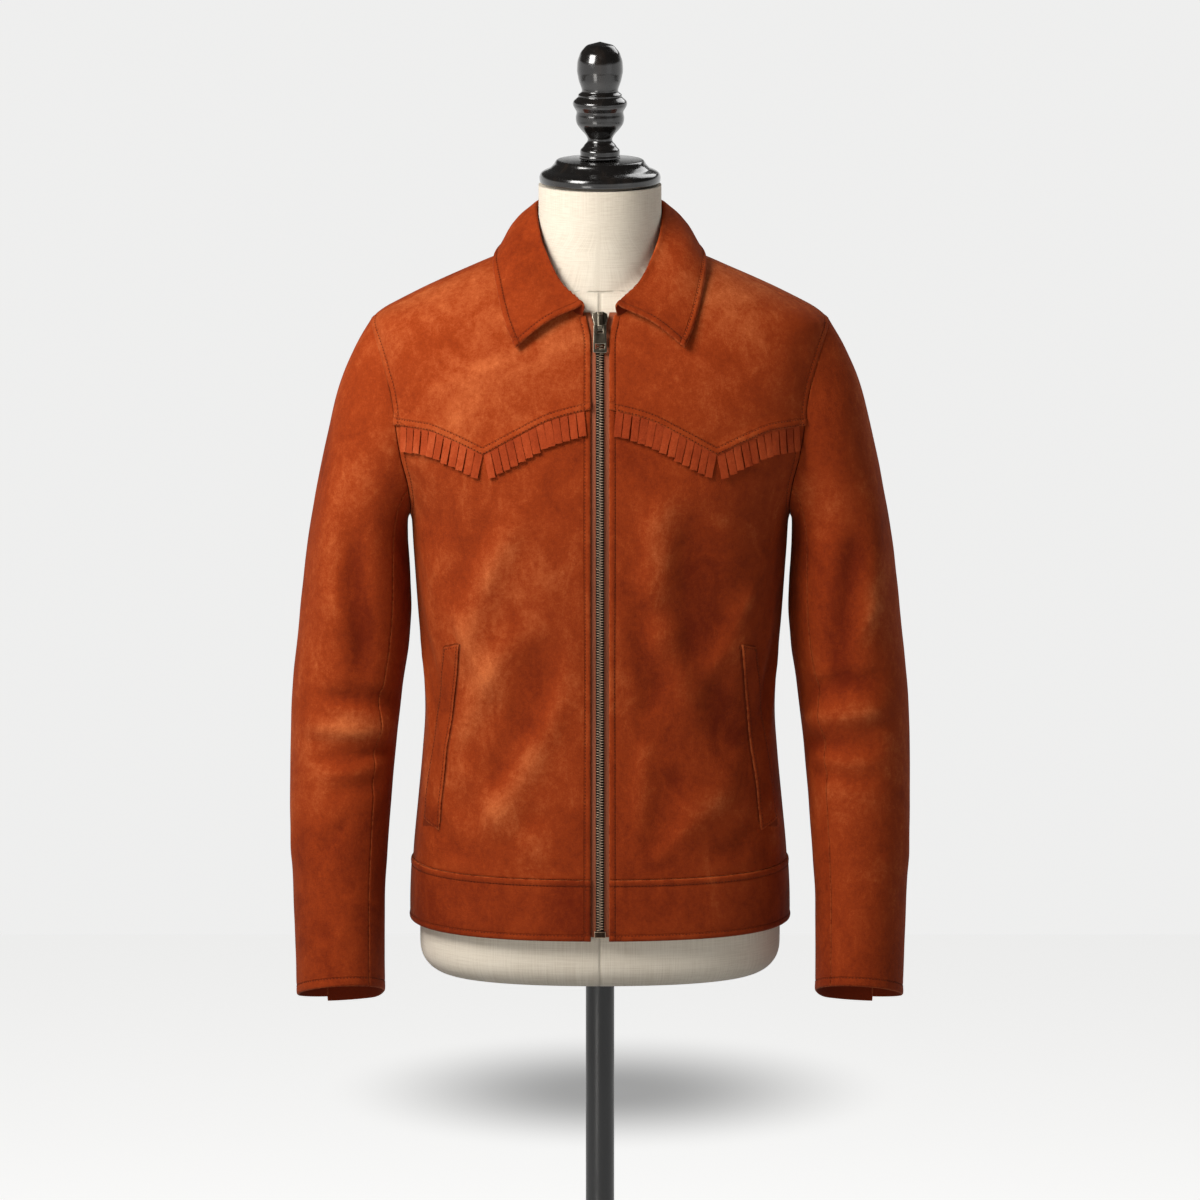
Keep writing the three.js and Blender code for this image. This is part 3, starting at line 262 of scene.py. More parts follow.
class Torso:
    """The smooth outer surface of the jacket's body, by turn round it and height."""

    soften = 8.0

    def __init__(self) -> None:
        """Makes the curves from the sections' table."""
        self.half = Curve(TORSO_ROWS, 1)
        self.front = Curve(TORSO_ROWS, 2)
        self.back = Curve(TORSO_ROWS, 3)
        self.neckline = Curve(NECKLINE_ROWS)
        self.yoke_inner = Curve(YOKE_INNER_ROWS)
        self.yoke_outer = Curve(YOKE_OUTER_ROWS)

    def half_width(self, z: Array) -> Array:
        """Half width at a height, eased over the shoulder's tip."""
        sides = self.half(z - self.soften) + self.half(z + self.soften)
        return 0.5 * self.half(z) + 0.25 * sides

    def point(self, turn: Array, z: Array) -> Array:
        """Points of the surface.

        Args:
            turn: Degrees round the body, 0 in front and 90 at the wearer's left.
            z: Heights.

        Returns:
            Points, one for each turn and height.
        """
        turn, z = np.broadcast_arrays(np.asarray(turn, float), np.asarray(z, float))
        a = np.radians(turn)
        fuller = 1 + SQUARENESS * np.sin(2 * a) ** 2
        depth = np.where(np.cos(a) > 0, self.front(z), self.back(z))
        return np.stack([self.half_width(z) * np.sin(a) * fuller, -depth * np.cos(a) * fuller, z], -1)

    def normal(self, turn: Array, z: Array) -> Array:
        """Directions out of the surface at turns and heights."""
        turn, z = np.asarray(turn, float), np.asarray(z, float)
        around = self.point(turn + 0.5, z) - self.point(turn - 0.5, z)
        up = self.point(turn, z + 0.5) - self.point(turn, z - 0.5)
        return unit(np.cross(around, up))

    def turn_at(self, x: Array, z: Array) -> Array:
        """Turns on the front at which the surface is a distance from the centre line.

        Args:
            x: Distances from the centre line.
            z: Heights.

        Returns:
            Turns between 0 and 90 degrees.
        """
        x, z = np.broadcast_arrays(np.asarray(x, float), np.asarray(z, float))
        low, high = np.zeros(x.shape), np.full(x.shape, 90.0)
        for _ in range(32):
            middle = (low + high) / 2
            short = self.point(middle, z)[..., 0] < x
            low, high = np.where(short, middle, low), np.where(short, high, middle)
        return low

    def yoke_z(self, x: Array) -> Array:
        """Height of the yoke's lower edge at a distance from the centre."""
        x = np.asarray(x, float)
        return np.where(x < YOKE_POINT_X, self.yoke_inner(x), self.yoke_outer(x))

    def front_edge_x(self, z: Array) -> Array:
        """Distance of a front's edge from the centre line at a height."""
        return FRONT_EDGE + (FRONT_EDGE_TOP - FRONT_EDGE) * smooth(z, V_START_Z, NECK_FRONT_Z + 12)


TORSO = Torso()


def armhole(along: Array, way: int) -> Array:
    """The armhole's edge.

    Args:
        along: 0 at the armpit, 1 at the shoulder.
        way: 1 in front of the side line and -1 behind it.

    Returns:
        Pairs of turn and height.
    """
    a = math.pi * np.asarray(along, float)
    return np.stack([90 - way * ARMHOLE_TURN * np.sin(a), ARMHOLE_MIDDLE_Z - ARMHOLE_HALF_Z * np.cos(a)], -1)


def armhole_along(z: Array) -> Array:
    """How far along the armhole a height lies."""
    return np.arccos(np.clip((ARMHOLE_MIDDLE_Z - z) / ARMHOLE_HALF_Z, -1, 1)) / math.pi


def shoulder_seam(along: Array, shift: float) -> Array:
    """Pairs of turn and height on the shoulder seam, from the armhole (0) to the neck (1)."""
    along = np.asarray(along, float)
    turn = 90 + (SHOULDER_SEAM_TURN - 90) * np.minimum(3 * along, 1)
    return np.stack([turn + shift, SHOULDER_Z + (NECK_SIDE_Z - SHOULDER_Z) * along], -1)


def fold_height(folds: Sequence[Fold], turn: Array, z: Array, mm_per_degree: float) -> Array:
    """Height of a list of folds over the cloth.

    Args:
        folds: The folds.
        turn: Turns of the points.
        z: Heights of the points.
        mm_per_degree: Distance round the piece that one degree stands for.

    Returns:
        The folds' height at each point.
    """
    height = np.zeros(np.broadcast(turn, z).shape)
    for fold in folds:
        run, rise = (fold.to_turn - fold.turn) * mm_per_degree, fold.to_z - fold.z
        for shift in (-360, 0, 360):
            dx, dz = (turn + shift - fold.turn) * mm_per_degree, z - fold.z
            along = (dx * run + dz * rise) / (run * run + rise * rise)
            bend = 0.12 * fold.width * np.sin(5.0 * along + fold.z)
            across = np.hypot(dx - along * run, dz - along * rise) + bend
            fade = smooth(along, -0.12, 0.25) * (1 - smooth(along, 0.75, 1.12))
            height += fold.height * fade * np.exp(-((across / fold.width) ** 2))
    return height


def ripple(points: Array, seed: float = 0.0) -> Array:
    """Slight unevenness of hung hide, in millimetres, the same wherever a point is asked for."""
    x, y, z = points[..., 0], points[..., 1], points[..., 2]
    total = np.zeros(x.shape)
    for k in range(1, 7):
        a, b, c = math.sin(2.1 * k + seed), math.cos(3.7 * k + seed), math.sin(5.3 * k + 1 + seed)
        wave = (a * x + b * y + c * z) * (0.045 + 0.021 * k)
        total += np.sin(wave + 1.7 * k + 1.3 * np.sin(0.017 * z + k)) / (1.5 + k)
    return total


BODY_FOLDS = (
    Fold(-72, 1232, -38, 1075, 17, 3.2),
    Fold(-80, 1190, -62, 985, 16, -3.6),
    Fold(-34, 1180, -12, 1045, 20, -2.6),
    Fold(-58, 1040, -24, 915, 19, 3),
    Fold(-40, 1010, -14, 905, 14, -2.4),
    Fold(70, 1226, 34, 1090, 16, 2.8),
    Fold(79, 1185, 64, 1000, 17, -3.8),
    Fold(30, 1150, 13, 1010, 19, -2.4),
    Fold(52, 1020, 20, 925, 18, 2.8),
    Fold(102, 1215, 140, 1050, 19, -3.4),
    Fold(118, 1100, 158, 955, 18, 3.2),
    Fold(104, 1070, 128, 930, 15, -3),
    Fold(258, 1212, 218, 1060, 18, -3.2),
    Fold(244, 1090, 204, 950, 20, 3),
    Fold(256, 1050, 236, 915, 16, -3.2),
    Fold(188, 1120, 172, 990, 20, -2.4),
)
# Smaller creases that only the cloth's shell has
BODY_CREASES = (
    Fold(-76, 1228, -44, 1112, 11, -1.9),
    Fold(-64, 1206, -28, 1058, 13, 1.6),
    Fold(-74, 1132, -46, 996, 12, -1.7),
    Fold(-48, 1000, -15, 912, 14, 1.6),
    Fold(-72, 946, -34, 902, 9, -1.5),
    Fold(75, 1222, 40, 1120, 11, -1.8),
    Fold(60, 1200, 24, 1040, 14, 1.5),
    Fold(76, 1120, 50, 985, 12, -1.8),
    Fold(46, 985, 14, 908, 13, 1.6),
    Fold(70, 950, 32, 905, 9, -1.4),
    Fold(-66, 1212, -46, 1120, 7, -1.2),
    Fold(-50, 1150, -30, 1060, 8, 1.0),
    Fold(-28, 1090, -14, 1010, 9, -0.9),
    Fold(-22, 1240, -14, 1150, 10, 0.8),
    Fold(-64, 960, -44, 900, 8, -1.2),
    Fold(-30, 940, -16, 902, 7, 0.9),
    Fold(64, 1208, 46, 1126, 7, -1.2),
    Fold(47, 1160, 30, 1060, 8, 1.0),
    Fold(22, 1120, 12, 1040, 9, -0.9),
    Fold(24, 1250, 14, 1170, 10, 0.7),
    Fold(62, 970, 42, 902, 8, -1.1),
    Fold(28, 950, 15, 903, 7, 0.9),
    Fold(-84, 1120, -70, 1010, 7, 1.3),
    Fold(84, 1110, 71, 1020, 7, 1.2),
    Fold(112, 1180, 134, 1100, 8, 1.1),
    Fold(150, 1010, 168, 930, 9, -1.0),
    Fold(130, 1260, 158, 1190, 10, -1.2),
    Fold(228, 1258, 202, 1188, 10, -1.1),
    Fold(214, 1020, 192, 935, 9, 1.0),
    Fold(248, 1170, 226, 1100, 8, 1.2),
    Fold(140, 1380, 170, 1350, 12, -0.8),
    Fold(216, 1386, 190, 1352, 12, 0.7),
    Fold(-20, 1405, -46, 1372, 11, 0.7),
    Fold(22, 1408, 50, 1370, 11, 0.6),
    Fold(-52, 1420, -60, 1362, 9, -0.7),
    Fold(54, 1418, 62, 1360, 9, -0.7),
)
# Columns: x and z where a fold of the fronts starts, x and z where it ends, width, height
FRONT_DRAPES = (
    (-82, 1262, -137, 1111, 14, 3.6),
    (-110, 1250, -158, 1150, 12, -2.6),
    (-48, 1134, -82, 1023, 14, -4.4),
    (-82, 1023, -139, 947, 14, -4.2),
    (-84, 1138, -148, 1008, 13, 3.2),
    (-33, 1077, -118, 927, 13, 3.2),
    (-60, 960, -96, 915, 11, -2.2),
    (62, 1277, 55, 1153, 15, 3.6),
    (55, 1153, 88, 1070, 14, 3.4),
    (98, 1258, 102, 1100, 18, -4),
    (102, 1100, 138, 1005, 16, -3.6),
    (30, 1180, 52, 1060, 13, -2.6),
    (47, 1038, 28, 915, 10, 2.4),
    (74, 1000, 60, 915, 12, -2.6),
    (150, 1190, 132, 1060, 13, 2.6),
)
BODY_MM_PER_DEGREE = 2.7
CREASE_DEPTH = 1.3
DRAPE_DEPTH = 1.25
BODY_FOLD_SHARE = 0.55
SLEEVE_FOLD_SHARE = 1.25
# How far the shell may sink below the solid's folds: at the front, and round the rest
SINK_FRONT = 3.0
SINK_REST = 1.2
SLEEVE_FOLDS = {
    Side.RIGHT: (
        Fold(76, 1240, 108, 1068, 15, -4.6),
        Fold(44, 1290, 70, 1110, 18, 2.6),
        Fold(168, 1052, 62, 1066, 9, -4),
        Fold(160, 1028, 48, 1034, 10, 3),
        Fold(170, 1006, 58, 1002, 9, -3.8),
        Fold(150, 978, 74, 968, 9, -2.4),
        Fold(262, 1110, 322, 1055, 12, -3),
        Fold(300, 1000, 250, 905, 15, -3.2),
    ),
    Side.LEFT: (
        Fold(70, 1232, 104, 1075, 16, -4.2),
        Fold(40, 1280, 66, 1120, 17, 2.8),
        Fold(166, 1062, 56, 1084, 10, -3.6),
        Fold(162, 1036, 52, 1052, 9, 3.2),
        Fold(168, 1012, 64, 1018, 10, -4),
        Fold(156, 984, 70, 980, 8, -2.6),
        Fold(266, 1100, 318, 1062, 13, -2.8),
        Fold(296, 990, 254, 890, 14, -3),
    ),
}
SLEEVE_CREASES = {
    Side.RIGHT: (
        Fold(140, 1062, 84, 1078, 4, -1.1),
        Fold(130, 1044, 66, 1052, 4, 0.9),
        Fold(128, 1018, 40, 1016, 4, -1.2),
        Fold(120, 990, 60, 984, 4, 0.9),
        Fold(60, 1170, 96, 1110, 6, 1.2),
        Fold(100, 940, 60, 900, 8, -1.3),
        Fold(30, 960, 8, 890, 12, 1.3),
        Fold(110, 860, 80, 800, 9, 1.2),
        Fold(270, 1180, 310, 1120, 9, 1.3),
        Fold(280, 1040, 330, 1010, 6, 1.3),
        Fold(320, 940, 290, 860, 10, 1.4),
        Fold(20, 1380, 60, 1330, 12, -1.2),
    ),
    Side.LEFT: (
        Fold(138, 1072, 80, 1092, 4, -1.0),
        Fold(132, 1048, 68, 1062, 4, 0.9),
        Fold(126, 1026, 44, 1034, 4, -1.1),
        Fold(124, 998, 62, 998, 4, 1.0),
        Fold(56, 1160, 90, 1105, 6, 1.1),
        Fold(98, 930, 58, 905, 8, -1.2),
        Fold(34, 950, 10, 880, 12, 1.2),
        Fold(106, 850, 84, 790, 9, 1.2),
        Fold(268, 1170, 308, 1126, 9, 1.2),
        Fold(282, 1050, 328, 1000, 6, 1.4),
        Fold(318, 930, 286, 850, 10, 1.3),
        Fold(16, 1376, 56, 1322, 12, -1.1),
    ),
}


@functools.cache
def front_drapes() -> tuple[Fold, ...]:
    """The drapes of the fronts, placed by turn."""
    folds = []
    for x, z, to_x, to_z, width, height in FRONT_DRAPES:
        start = float(np.sign(x) * TORSO.turn_at(abs(x), z))
        end = float(np.sign(to_x) * TORSO.turn_at(abs(to_x), to_z))
        folds.append(Fold(start, z, end, to_z, width, DRAPE_DEPTH * height))
    return tuple(folds)


def jacket_fold(turn: Array, z: Array) -> Array:
    """Height of the body's folds, calm beside the zip and at the waist seam."""
    points = TORSO.point(turn, z)
    beside_zip = np.where(points[..., 1] < 0, smooth(np.abs(points[..., 0]), 18, 48), 1.0)
    over_waist = smooth(points[..., 2], WAIST_SEAM_Z - 20, WAIST_SEAM_Z + 40)
    solid = beside_zip * over_waist * fold_height(BODY_FOLDS, turn, z, BODY_MM_PER_DEGREE)
    small = CREASE_DEPTH * fold_height(BODY_CREASES, turn, z, BODY_MM_PER_DEGREE)
    small = small + fold_height(front_drapes(), turn, z, BODY_MM_PER_DEGREE)
    more = (BODY_FOLD_SHARE - 1) * solid + beside_zip * small * smooth(points[..., 2], WAIST_SEAM_Z, 910)
    away = np.abs((turn + 180) % 360 - 180)
    limit = SINK_REST + (SINK_FRONT - SINK_REST) * (1 - smooth(away, 40, 75))
    return solid + np.where(more < 0, -limit * np.tanh(-more / limit), more)


class Num:
    """A value socket that takes part in sums, each of which adds its Math node."""

    def __init__(self, nodes: "Nodes", socket: bpy.types.NodeSocket) -> None:
        """Args: nodes, the tree's builder; socket, the output it stands for."""
        self.nodes = nodes
        self.socket = socket

    def _do(self, operation: str, *values: Any) -> "Num":
        """Adds a Math node with this operation on the values."""
        return self.nodes.num("ShaderNodeMath", {"operation": operation}, dict(enumerate(values)))

    def __add__(self, other: Any) -> "Num":
        """Sum."""
        return self._do("ADD", self, other)

    __radd__ = __add__

    def __sub__(self, other: Any) -> "Num":
        """Difference."""
        return self._do("SUBTRACT", self, other)

    def __rsub__(self, other: Any) -> "Num":
        """Difference, the other way round."""
        return self._do("SUBTRACT", other, self)

    def __mul__(self, other: Any) -> "Num":
        """Product."""
        return self._do("MULTIPLY", self, other)

    __rmul__ = __mul__

    def __truediv__(self, other: Any) -> "Num":
        """Quotient."""
        return self._do("DIVIDE", self, other)

    def __pow__(self, other: Any) -> "Num":
        """Power."""
        return self._do("POWER", self, other)

    def apply(self, operation: str, *values: Any) -> "Num":
        """Any other Math operation, this value first."""
        return self._do(operation, self, *values)

    def between(self, low: float, high: float) -> "Num":
        """Eases from 0 at low to 1 at high."""
        return self.nodes.num(
            "ShaderNodeMapRange",
            {"interpolation_type": "SMOOTHSTEP"},
            {"Value": self, "From Min": low, "From Max": high},
        )


class Nodes:
    """Builds the nodes of one tree."""

    def __init__(self, tree: bpy.types.NodeTree) -> None:
        """Args: tree, the node tree to fill."""
        self.tree = tree

    def node(self, kind: str, settings: dict | None = None, sockets: dict | None = None) -> bpy.types.Node:
        """Adds a node.

        Args:
            kind: The node's type.
            settings: Its properties, set first; "stops" are a ramp's places and colours.
            sockets: Values or links of its inputs, by name or number.

        Returns:
            The node.
        """
        made = self.tree.nodes.new(kind)
        for key, value in (settings or {}).items():
            if key == "stops":
                elements = made.color_ramp.elements
                while len(elements) < len(value):
                    elements.new(1.0)
                for element, (place, colour) in zip(elements, value):
                    element.position, element.color = place, (*colour, 1.0)
            else:
                setattr(made, key, value)
        for key, value in (sockets or {}).items():
            source = value.socket if isinstance(value, Num) else value
            if isinstance(source, bpy.types.Node):
                source = source.outputs[0]
            if isinstance(source, bpy.types.NodeSocket):
                self.tree.links.new(source, made.inputs[key])
            else:
                made.inputs[key].default_value = source
        return made

    def num(self, kind: str, settings: dict | None = None, sockets: dict | None = None, out: Any = 0) -> Num:
        """Adds a node and wraps one of its outputs as a value."""
        return Num(self, self.node(kind, settings, sockets).outputs[out])

    def mix(self, factor: Any, first: Any, second: Any, blend: str = "MIX") -> bpy.types.NodeSocket:
        """Mixes two colours.

        Args:
            factor: Share of the second one.
            first: Colour or socket.
            second: Colour or socket.
            blend: The blend mode.

        Returns:
            The mixed colour's socket.
        """
        ends = [(*c, 1.0) if isinstance(c, tuple) else c for c in (first, second)]
        made = self.node(
            "ShaderNodeMix",
            {"data_type": "RGBA", "blend_type": blend},
            {0: factor, 6: ends[0], 7: ends[1]},
        )
        return made.outputs[2]


class Paint(Nodes):
    """The node tree of one material, with the textures its finish is mixed from."""

    def __init__(self, name: str) -> None:
        """Args: name, the material's name."""
        self.material = bpy.data.materials.new(name)
        self.material.use_nodes = True
        super().__init__(self.material.node_tree)
        self.tree.nodes.clear()
        self.place = self.node("ShaderNodeTexCoord").outputs["Object"]

    def stretched(self, scale: tuple[float, float, float], turn: tuple[float, float, float] = (0, 0, 0)) -> Any:
        """Object coordinates, scaled and turned."""
        return self.node("ShaderNodeMapping", {}, {"Vector": self.place, "Scale": scale, "Rotation": turn}).outputs[0]

    def noise(self, scale: float, detail: float = 3.0, rough: float = 0.5, bent: float = 0.0, at: Any = None) -> Num:
        """Cloudy noise.

        Args:
            scale: Lumps in a metre.
            detail: Number of finer layers.
            rough: Strength of the finer layers.
            bent: Distortion.
            at: Coordinates, or None for the object's own.

        Returns:
            Values around a half.
        """
        sockets = {"Vector": at or self.place, "Scale": scale, "Detail": detail, "Roughness": rough, "Distortion": bent}
        return self.num("ShaderNodeTexNoise", {}, sockets)

    def attribute(self, name: str) -> Num:
        """A value that the mesh carries at its points."""
        return self.num("ShaderNodeAttribute", {"attribute_name": name}, {}, "Fac")

    def bump(self, height: Num, distance: float, strength: float = 1.0, below: Any = None) -> bpy.types.NodeSocket:
        """A Bump node's normal.

        Args:
            height: Relief between 0 and 1.
            distance: What 1 stands for, in metres.
            strength: Its strength.
            below: The normal of a coarser relief under it.

        Returns:
            The normal's socket.
        """
        sockets = {"Height": height, "Distance": distance, "Strength": strength}
        if below is not None:
            sockets["Normal"] = below
        return self.node("ShaderNodeBump", {}, sockets).outputs[0]

    def finish(self, **sockets: Any) -> bpy.types.Material:
        """Closes the tree with its shader.

        Args:
            **sockets: The shader's inputs, with _ for a space.

        Returns:
            The material.
        """
        inputs = {key.replace("_", " "): value for key, value in sockets.items()}
        for key in ("Base Color", "Sheen Tint"):
            if isinstance(inputs.get(key), tuple):
                inputs[key] = (*inputs[key], 1.0)
        shader = self.node("ShaderNodeBsdfPrincipled", {}, inputs)
        self.node("ShaderNodeOutputMaterial", {}, {"Surface": shader})
        return self.material


@dataclass(frozen=True)
class SuedeFinish:
    """Brushed suede: a short nap that lies in light and dark strokes."""

    name: str = "suede"
    light: Colour = (0.59, 0.15, 0.043)
    middle: Colour = (0.3, 0.0395, 0.0058)
    dark: Colour = (0.15, 0.0145, 0.0019)
    # Colour of the painted shade in the stitch grooves and along the welts' edges.
    hole: Colour = (0.075, 0.009, 0.002)
    sheen: float = 0.06
    # Heights in metres: over the first pair the suede is painted lighter towards the shoulders, and under the second it
    # is painted darker towards the hem, as painted light and shade.
    painted_light_heights: tuple[float, float] = (1.37, 1.53)
    painted_shade_heights: tuple[float, float] = (0.82, 1.15)

    def material(self) -> bpy.types.Material:
        """Mixes the suede; reads each panel's attributes of tone, fold height, stitch, rim and welt outline, and paints
        light and shade into its colour.
        """
        p = Paint(self.name)
        tone, crease = p.attribute("tone"), p.attribute("crease")
        cloud = p.noise(6.0, 3, 0.5, 0.8)
        patch = p.noise(24, 4, 0.6, 1.6, p.stretched((1.0, 1.0, 0.75), (0.0, 0.5, 0.0)))
        stroke = p.noise(62, 4, 0.6, 1.4, p.stretched((1.0, 1.0, 0.62), (0.0, -0.6, 0.0)))
        nap = p.noise(720, 2, 0.7)
        grain = p.noise(230, 3, 0.65)
        height = p.num("ShaderNodeSeparateXYZ", {}, {"Vector": p.place}, "Z")
        # Painted light and shade by height: lighter over the shoulders and darker towards the hem, standing in for
        # light that falls from above.
        slope = height.between(*self.painted_light_heights) * 0.12 - (1 - height.between(*self.painted_shade_heights)) * 0.08
        mottle_and_painted_light = (cloud - 0.5) * 0.85 + (patch - 0.5) * 0.5 + (stroke - 0.5) * 0.26 + slope
        fine = (nap - 0.5) * 0.34 + (grain - 0.5) * 0.34
        # Painted shade of the folds: their ridges are painted lighter and their troughs darker.
        level = (mottle_and_painted_light + fine + tone + crease * 0.042 + 0.4).apply("MAXIMUM", 0.0).apply("MINIMUM", 1.0)
        low = p.mix(level.between(0.0, 0.55), self.dark, self.middle)
        colour = p.mix(level.between(0.4, 1.0), low, self.light)
        stitch, rim = p.attribute("stitch"), p.attribute("rim")
        # Painted shade: darker along each stitch line and round the welts' outlines, where shade falls in the grooves
        # and at the welts' edges; the grooves are also bumps.
        outline = 1 - p.attribute("outline").between(0.5, 2.0)
        groove = (1 - stitch.apply("ABSOLUTE").between(0.2, 0.9)).apply("MAXIMUM", outline * 2.2)
        # Edges are painted lighter: partly rubbed wear, partly a painted highlight where the puffed edges catch the
        # light.
        worn = (1 - rim.between(0.1, 1.3)) * grain.between(0.35, 0.6)
        colour = p.mix(groove * 0.24, colour, self.hole)
        colour = p.mix(worn * 0.3, colour, self.light)
        relief = p.bump((patch - 0.5) * 0.5 + grain * 0.5, 0.0011, 0.5)
        relief = p.bump(1 - groove.apply("MINIMUM", 1.0), 0.0006, 0.9, relief)
        relief = p.bump(nap, 0.0007, 0.5, relief)
        return p.finish(
            Base_Color=colour,
            Roughness=0.88 + (grain - 0.5) * 0.2,
            Normal=relief,
            Sheen_Weight=self.sheen,
            Sheen_Roughness=0.45,
            Sheen_Tint=(1.0, 0.42, 0.16),
            Specular_IOR_Level=0.08,
        )


@dataclass(frozen=True)
class LinenFinish:
    """Cream linen drawn over a hard form."""

    thread: float = 0.0011
    light: Colour = (0.82, 0.74, 0.615)
    dark: Colour = (0.64, 0.55, 0.43)

    def material(self) -> bpy.types.Material:
        """Mixes the linen; its weave follows the piece's own UV map."""
        p = Paint("linen")
        flat = p.node("ShaderNodeUVMap", {"uv_map": "cloth"}).outputs[0]
        apart = p.node("ShaderNodeSeparateXYZ", {}, {"Vector": flat})
        across, up = Num(p, apart.outputs[0]), Num(p, apart.outputs[1])
        step = 2 * math.pi / self.thread
        warp = (across * step).apply("SINE")
        weft = (up * step).apply("SINE")
        weave = warp * weft * 0.5 + 0.5
        squeezed = p.node("ShaderNodeMapping", {}, {"Vector": flat, "Scale": (900.0, 26.0, 1.0)}).outputs[0]
        crossed = p.node("ShaderNodeMapping", {}, {"Vector": flat, "Scale": (26.0, 900.0, 1.0)}).outputs[0]
        slub_up = p.noise(1.0, 2, 0.6, 0.0, squeezed)
        slub_across = p.noise(1.0, 2, 0.6, 0.0, crossed)
        slub = slub_up * 0.5 + slub_across * 0.5
        cloud = p.noise(14, 4, 0.55)
        shade = (slub - 0.5) * 2.2 + (cloud - 0.5) * 0.7 + (weave - 0.5) * 0.35 + 0.62
        seam = p.attribute("seam")
        line = 1 - seam.apply("ABSOLUTE").between(0.2, 1.1)
        colour = p.mix(shade.between(0.0, 1.0), self.dark, self.light)
        colour = p.mix(line * 0.4, colour, (0.3, 0.25, 0.19))
        relief = p.bump(1 - line, 0.0007, 0.9)
        relief = p.bump(slub * 0.7 + weave * 0.3, 0.0005, 0.6, relief)
        return p.finish(
            Base_Color=colour,
            Roughness=0.9 - (slub - 0.5) * 0.3,
            Normal=relief,
            Sheen_Weight=0.12,
            Sheen_Roughness=0.5,
            Specular_IOR_Level=0.2,
        )


@dataclass(frozen=True)
class LacquerFinish:
    """Turned wood under glossy black lacquer."""

    colour: Colour = (0.0065, 0.0055, 0.005)

    def material(self) -> bpy.types.Material:
        """Mixes the lacquer, with faint turning rings and dust."""
        p = Paint("black_lacquer")
        rings = p.noise(900, 2, 0.5, 0.0, p.stretched((0.02, 0.02, 1.0)))
        grain = p.noise(60, 4, 0.6, 0.4, p.stretched((1.0, 1.0, 0.18)))
        dust = p.noise(240, 3, 0.6)
        colour = p.mix(grain.between(0.5, 0.8) * 0.7, self.colour, (0.022, 0.015, 0.011))
        return p.finish(
            Base_Color=colour,
            Roughness=0.2 + dust.between(0.45, 0.75) * 0.14,
            Normal=p.bump(rings * 0.5 + grain * 0.5, 0.0003, 0.35),
            Coat_Weight=0.7,
            Coat_Roughness=0.08,
            Specular_IOR_Level=0.5,
        )


@dataclass(frozen=True)
class EnamelFinish:
    """Satin black enamel on steel and iron."""

    def material(self) -> bpy.types.Material:
        """Mixes the enamel with its orange-peel and fine scuffs."""
        p = Paint("black_enamel")
        peel = p.noise(420, 2, 0.5)
        scuff = p.noise(38, 5, 0.65, 1.0, p.stretched((1.0, 1.0, 0.3)))
        colour = p.mix(scuff.between(0.55, 0.8), (0.008, 0.008, 0.0085), (0.024, 0.023, 0.022))
        return p.finish(
            Base_Color=colour,
            Roughness=0.34 + scuff.between(0.4, 0.8) * 0.2,
            Normal=p.bump(peel, 0.0003, 0.3),
            Specular_IOR_Level=0.5,
        )


@dataclass(frozen=True)
class BrassFinish:
    """Antiqued brass: dark in its hollows, rubbed bright on its edges and crowns, whose brightness is partly a painted
    highlight.
    """

    name: str = "antique_brass"
    bright: Colour = (0.5, 0.36, 0.25)
    dull: Colour = (0.02, 0.012, 0.008)

    def material(self) -> bpy.types.Material:
        """Mixes the metal; reads each face's mark of wear and painted highlight."""
        p = Paint(self.name)
        cloud = p.noise(330, 4, 0.6, 0.5)
        fine = p.noise(1500, 2, 0.5)
        level = (cloud - 0.5) * 0.4 + (fine - 0.5) * 0.2 + p.attribute("worn") * 0.85 + 0.03
        colour = p.mix(level.between(0.0, 1.0), self.dull, self.bright)
        return p.finish(
            Base_Color=colour,
            Metallic=1.0,
            Roughness=0.3 + cloud.between(0.3, 0.7) * 0.22,
            Normal=p.bump(fine * 0.5 + cloud * 0.5, 0.00015, 0.4),
        )


@dataclass(frozen=True)
class TapeFinish:
    """Woven zip tape: fine ribs along it."""

    light: Colour = (0.42, 0.125, 0.06)
    dark: Colour = (0.2, 0.05, 0.022)
    # Painted shade: the tape under the teeth is painted near-black, up to the chain's top.
    bed: Colour = (0.018, 0.01, 0.007)
    painted_shade_end: tuple[float, float] = (0.59, 0.6)

    def material(self) -> bpy.types.Material:
        """Mixes the tape; its ribs follow the piece's own UV map."""
        p = Paint("zip_tape")
        flat = p.node("ShaderNodeUVMap", {"uv_map": "cloth"}).outputs[0]
        apart = p.node("ShaderNodeSeparateXYZ", {}, {"Vector": flat})
        across, up = Num(p, apart.outputs[0]), Num(p, apart.outputs[1])
        rib = ((across * 7800.0) + ((up * 5200.0).apply("SINE")) * 0.8).apply("SINE") * 0.5 + 0.5
        fuzz = p.noise(900, 2, 0.6)
        colour = p.mix((rib * 0.6 + fuzz * 0.5).between(0.1, 0.9), self.dark, self.light)
        # Painted shade under the teeth, up to the chain's top.
        teeth_shade = (1 - across.between(0.0036, 0.0044)) * (1 - up.between(*self.painted_shade_end))
        colour = p.mix(teeth_shade, colour, self.bed)
        return p.finish(
            Base_Color=colour,
            Roughness=0.82 + fuzz * 0.12,
            Normal=p.bump(rib * 0.7 + fuzz * 0.3, 0.0004, 0.7),
            Specular_IOR_Level=0.15,
        )


@dataclass(frozen=True)
class ThreadFinish:
    """Tone-on-tone sewing thread."""

    name: str
    light: Colour
    dark: Colour

    def material(self) -> bpy.types.Material:
        """Mixes the twisted thread."""
        p = Paint(self.name)
        twist = p.noise(2200, 2, 0.5, 0.3)
        fade = p.noise(30, 3, 0.5)
        colour = p.mix((twist * 0.6 + fade * 0.5).between(0.3, 0.8), self.dark, self.light)
        return p.finish(
            Base_Color=colour,
            Roughness=0.75 + twist * 0.2,
            Normal=p.bump(twist, 0.0002, 0.5),
            Specular_IOR_Level=0.1,
        )


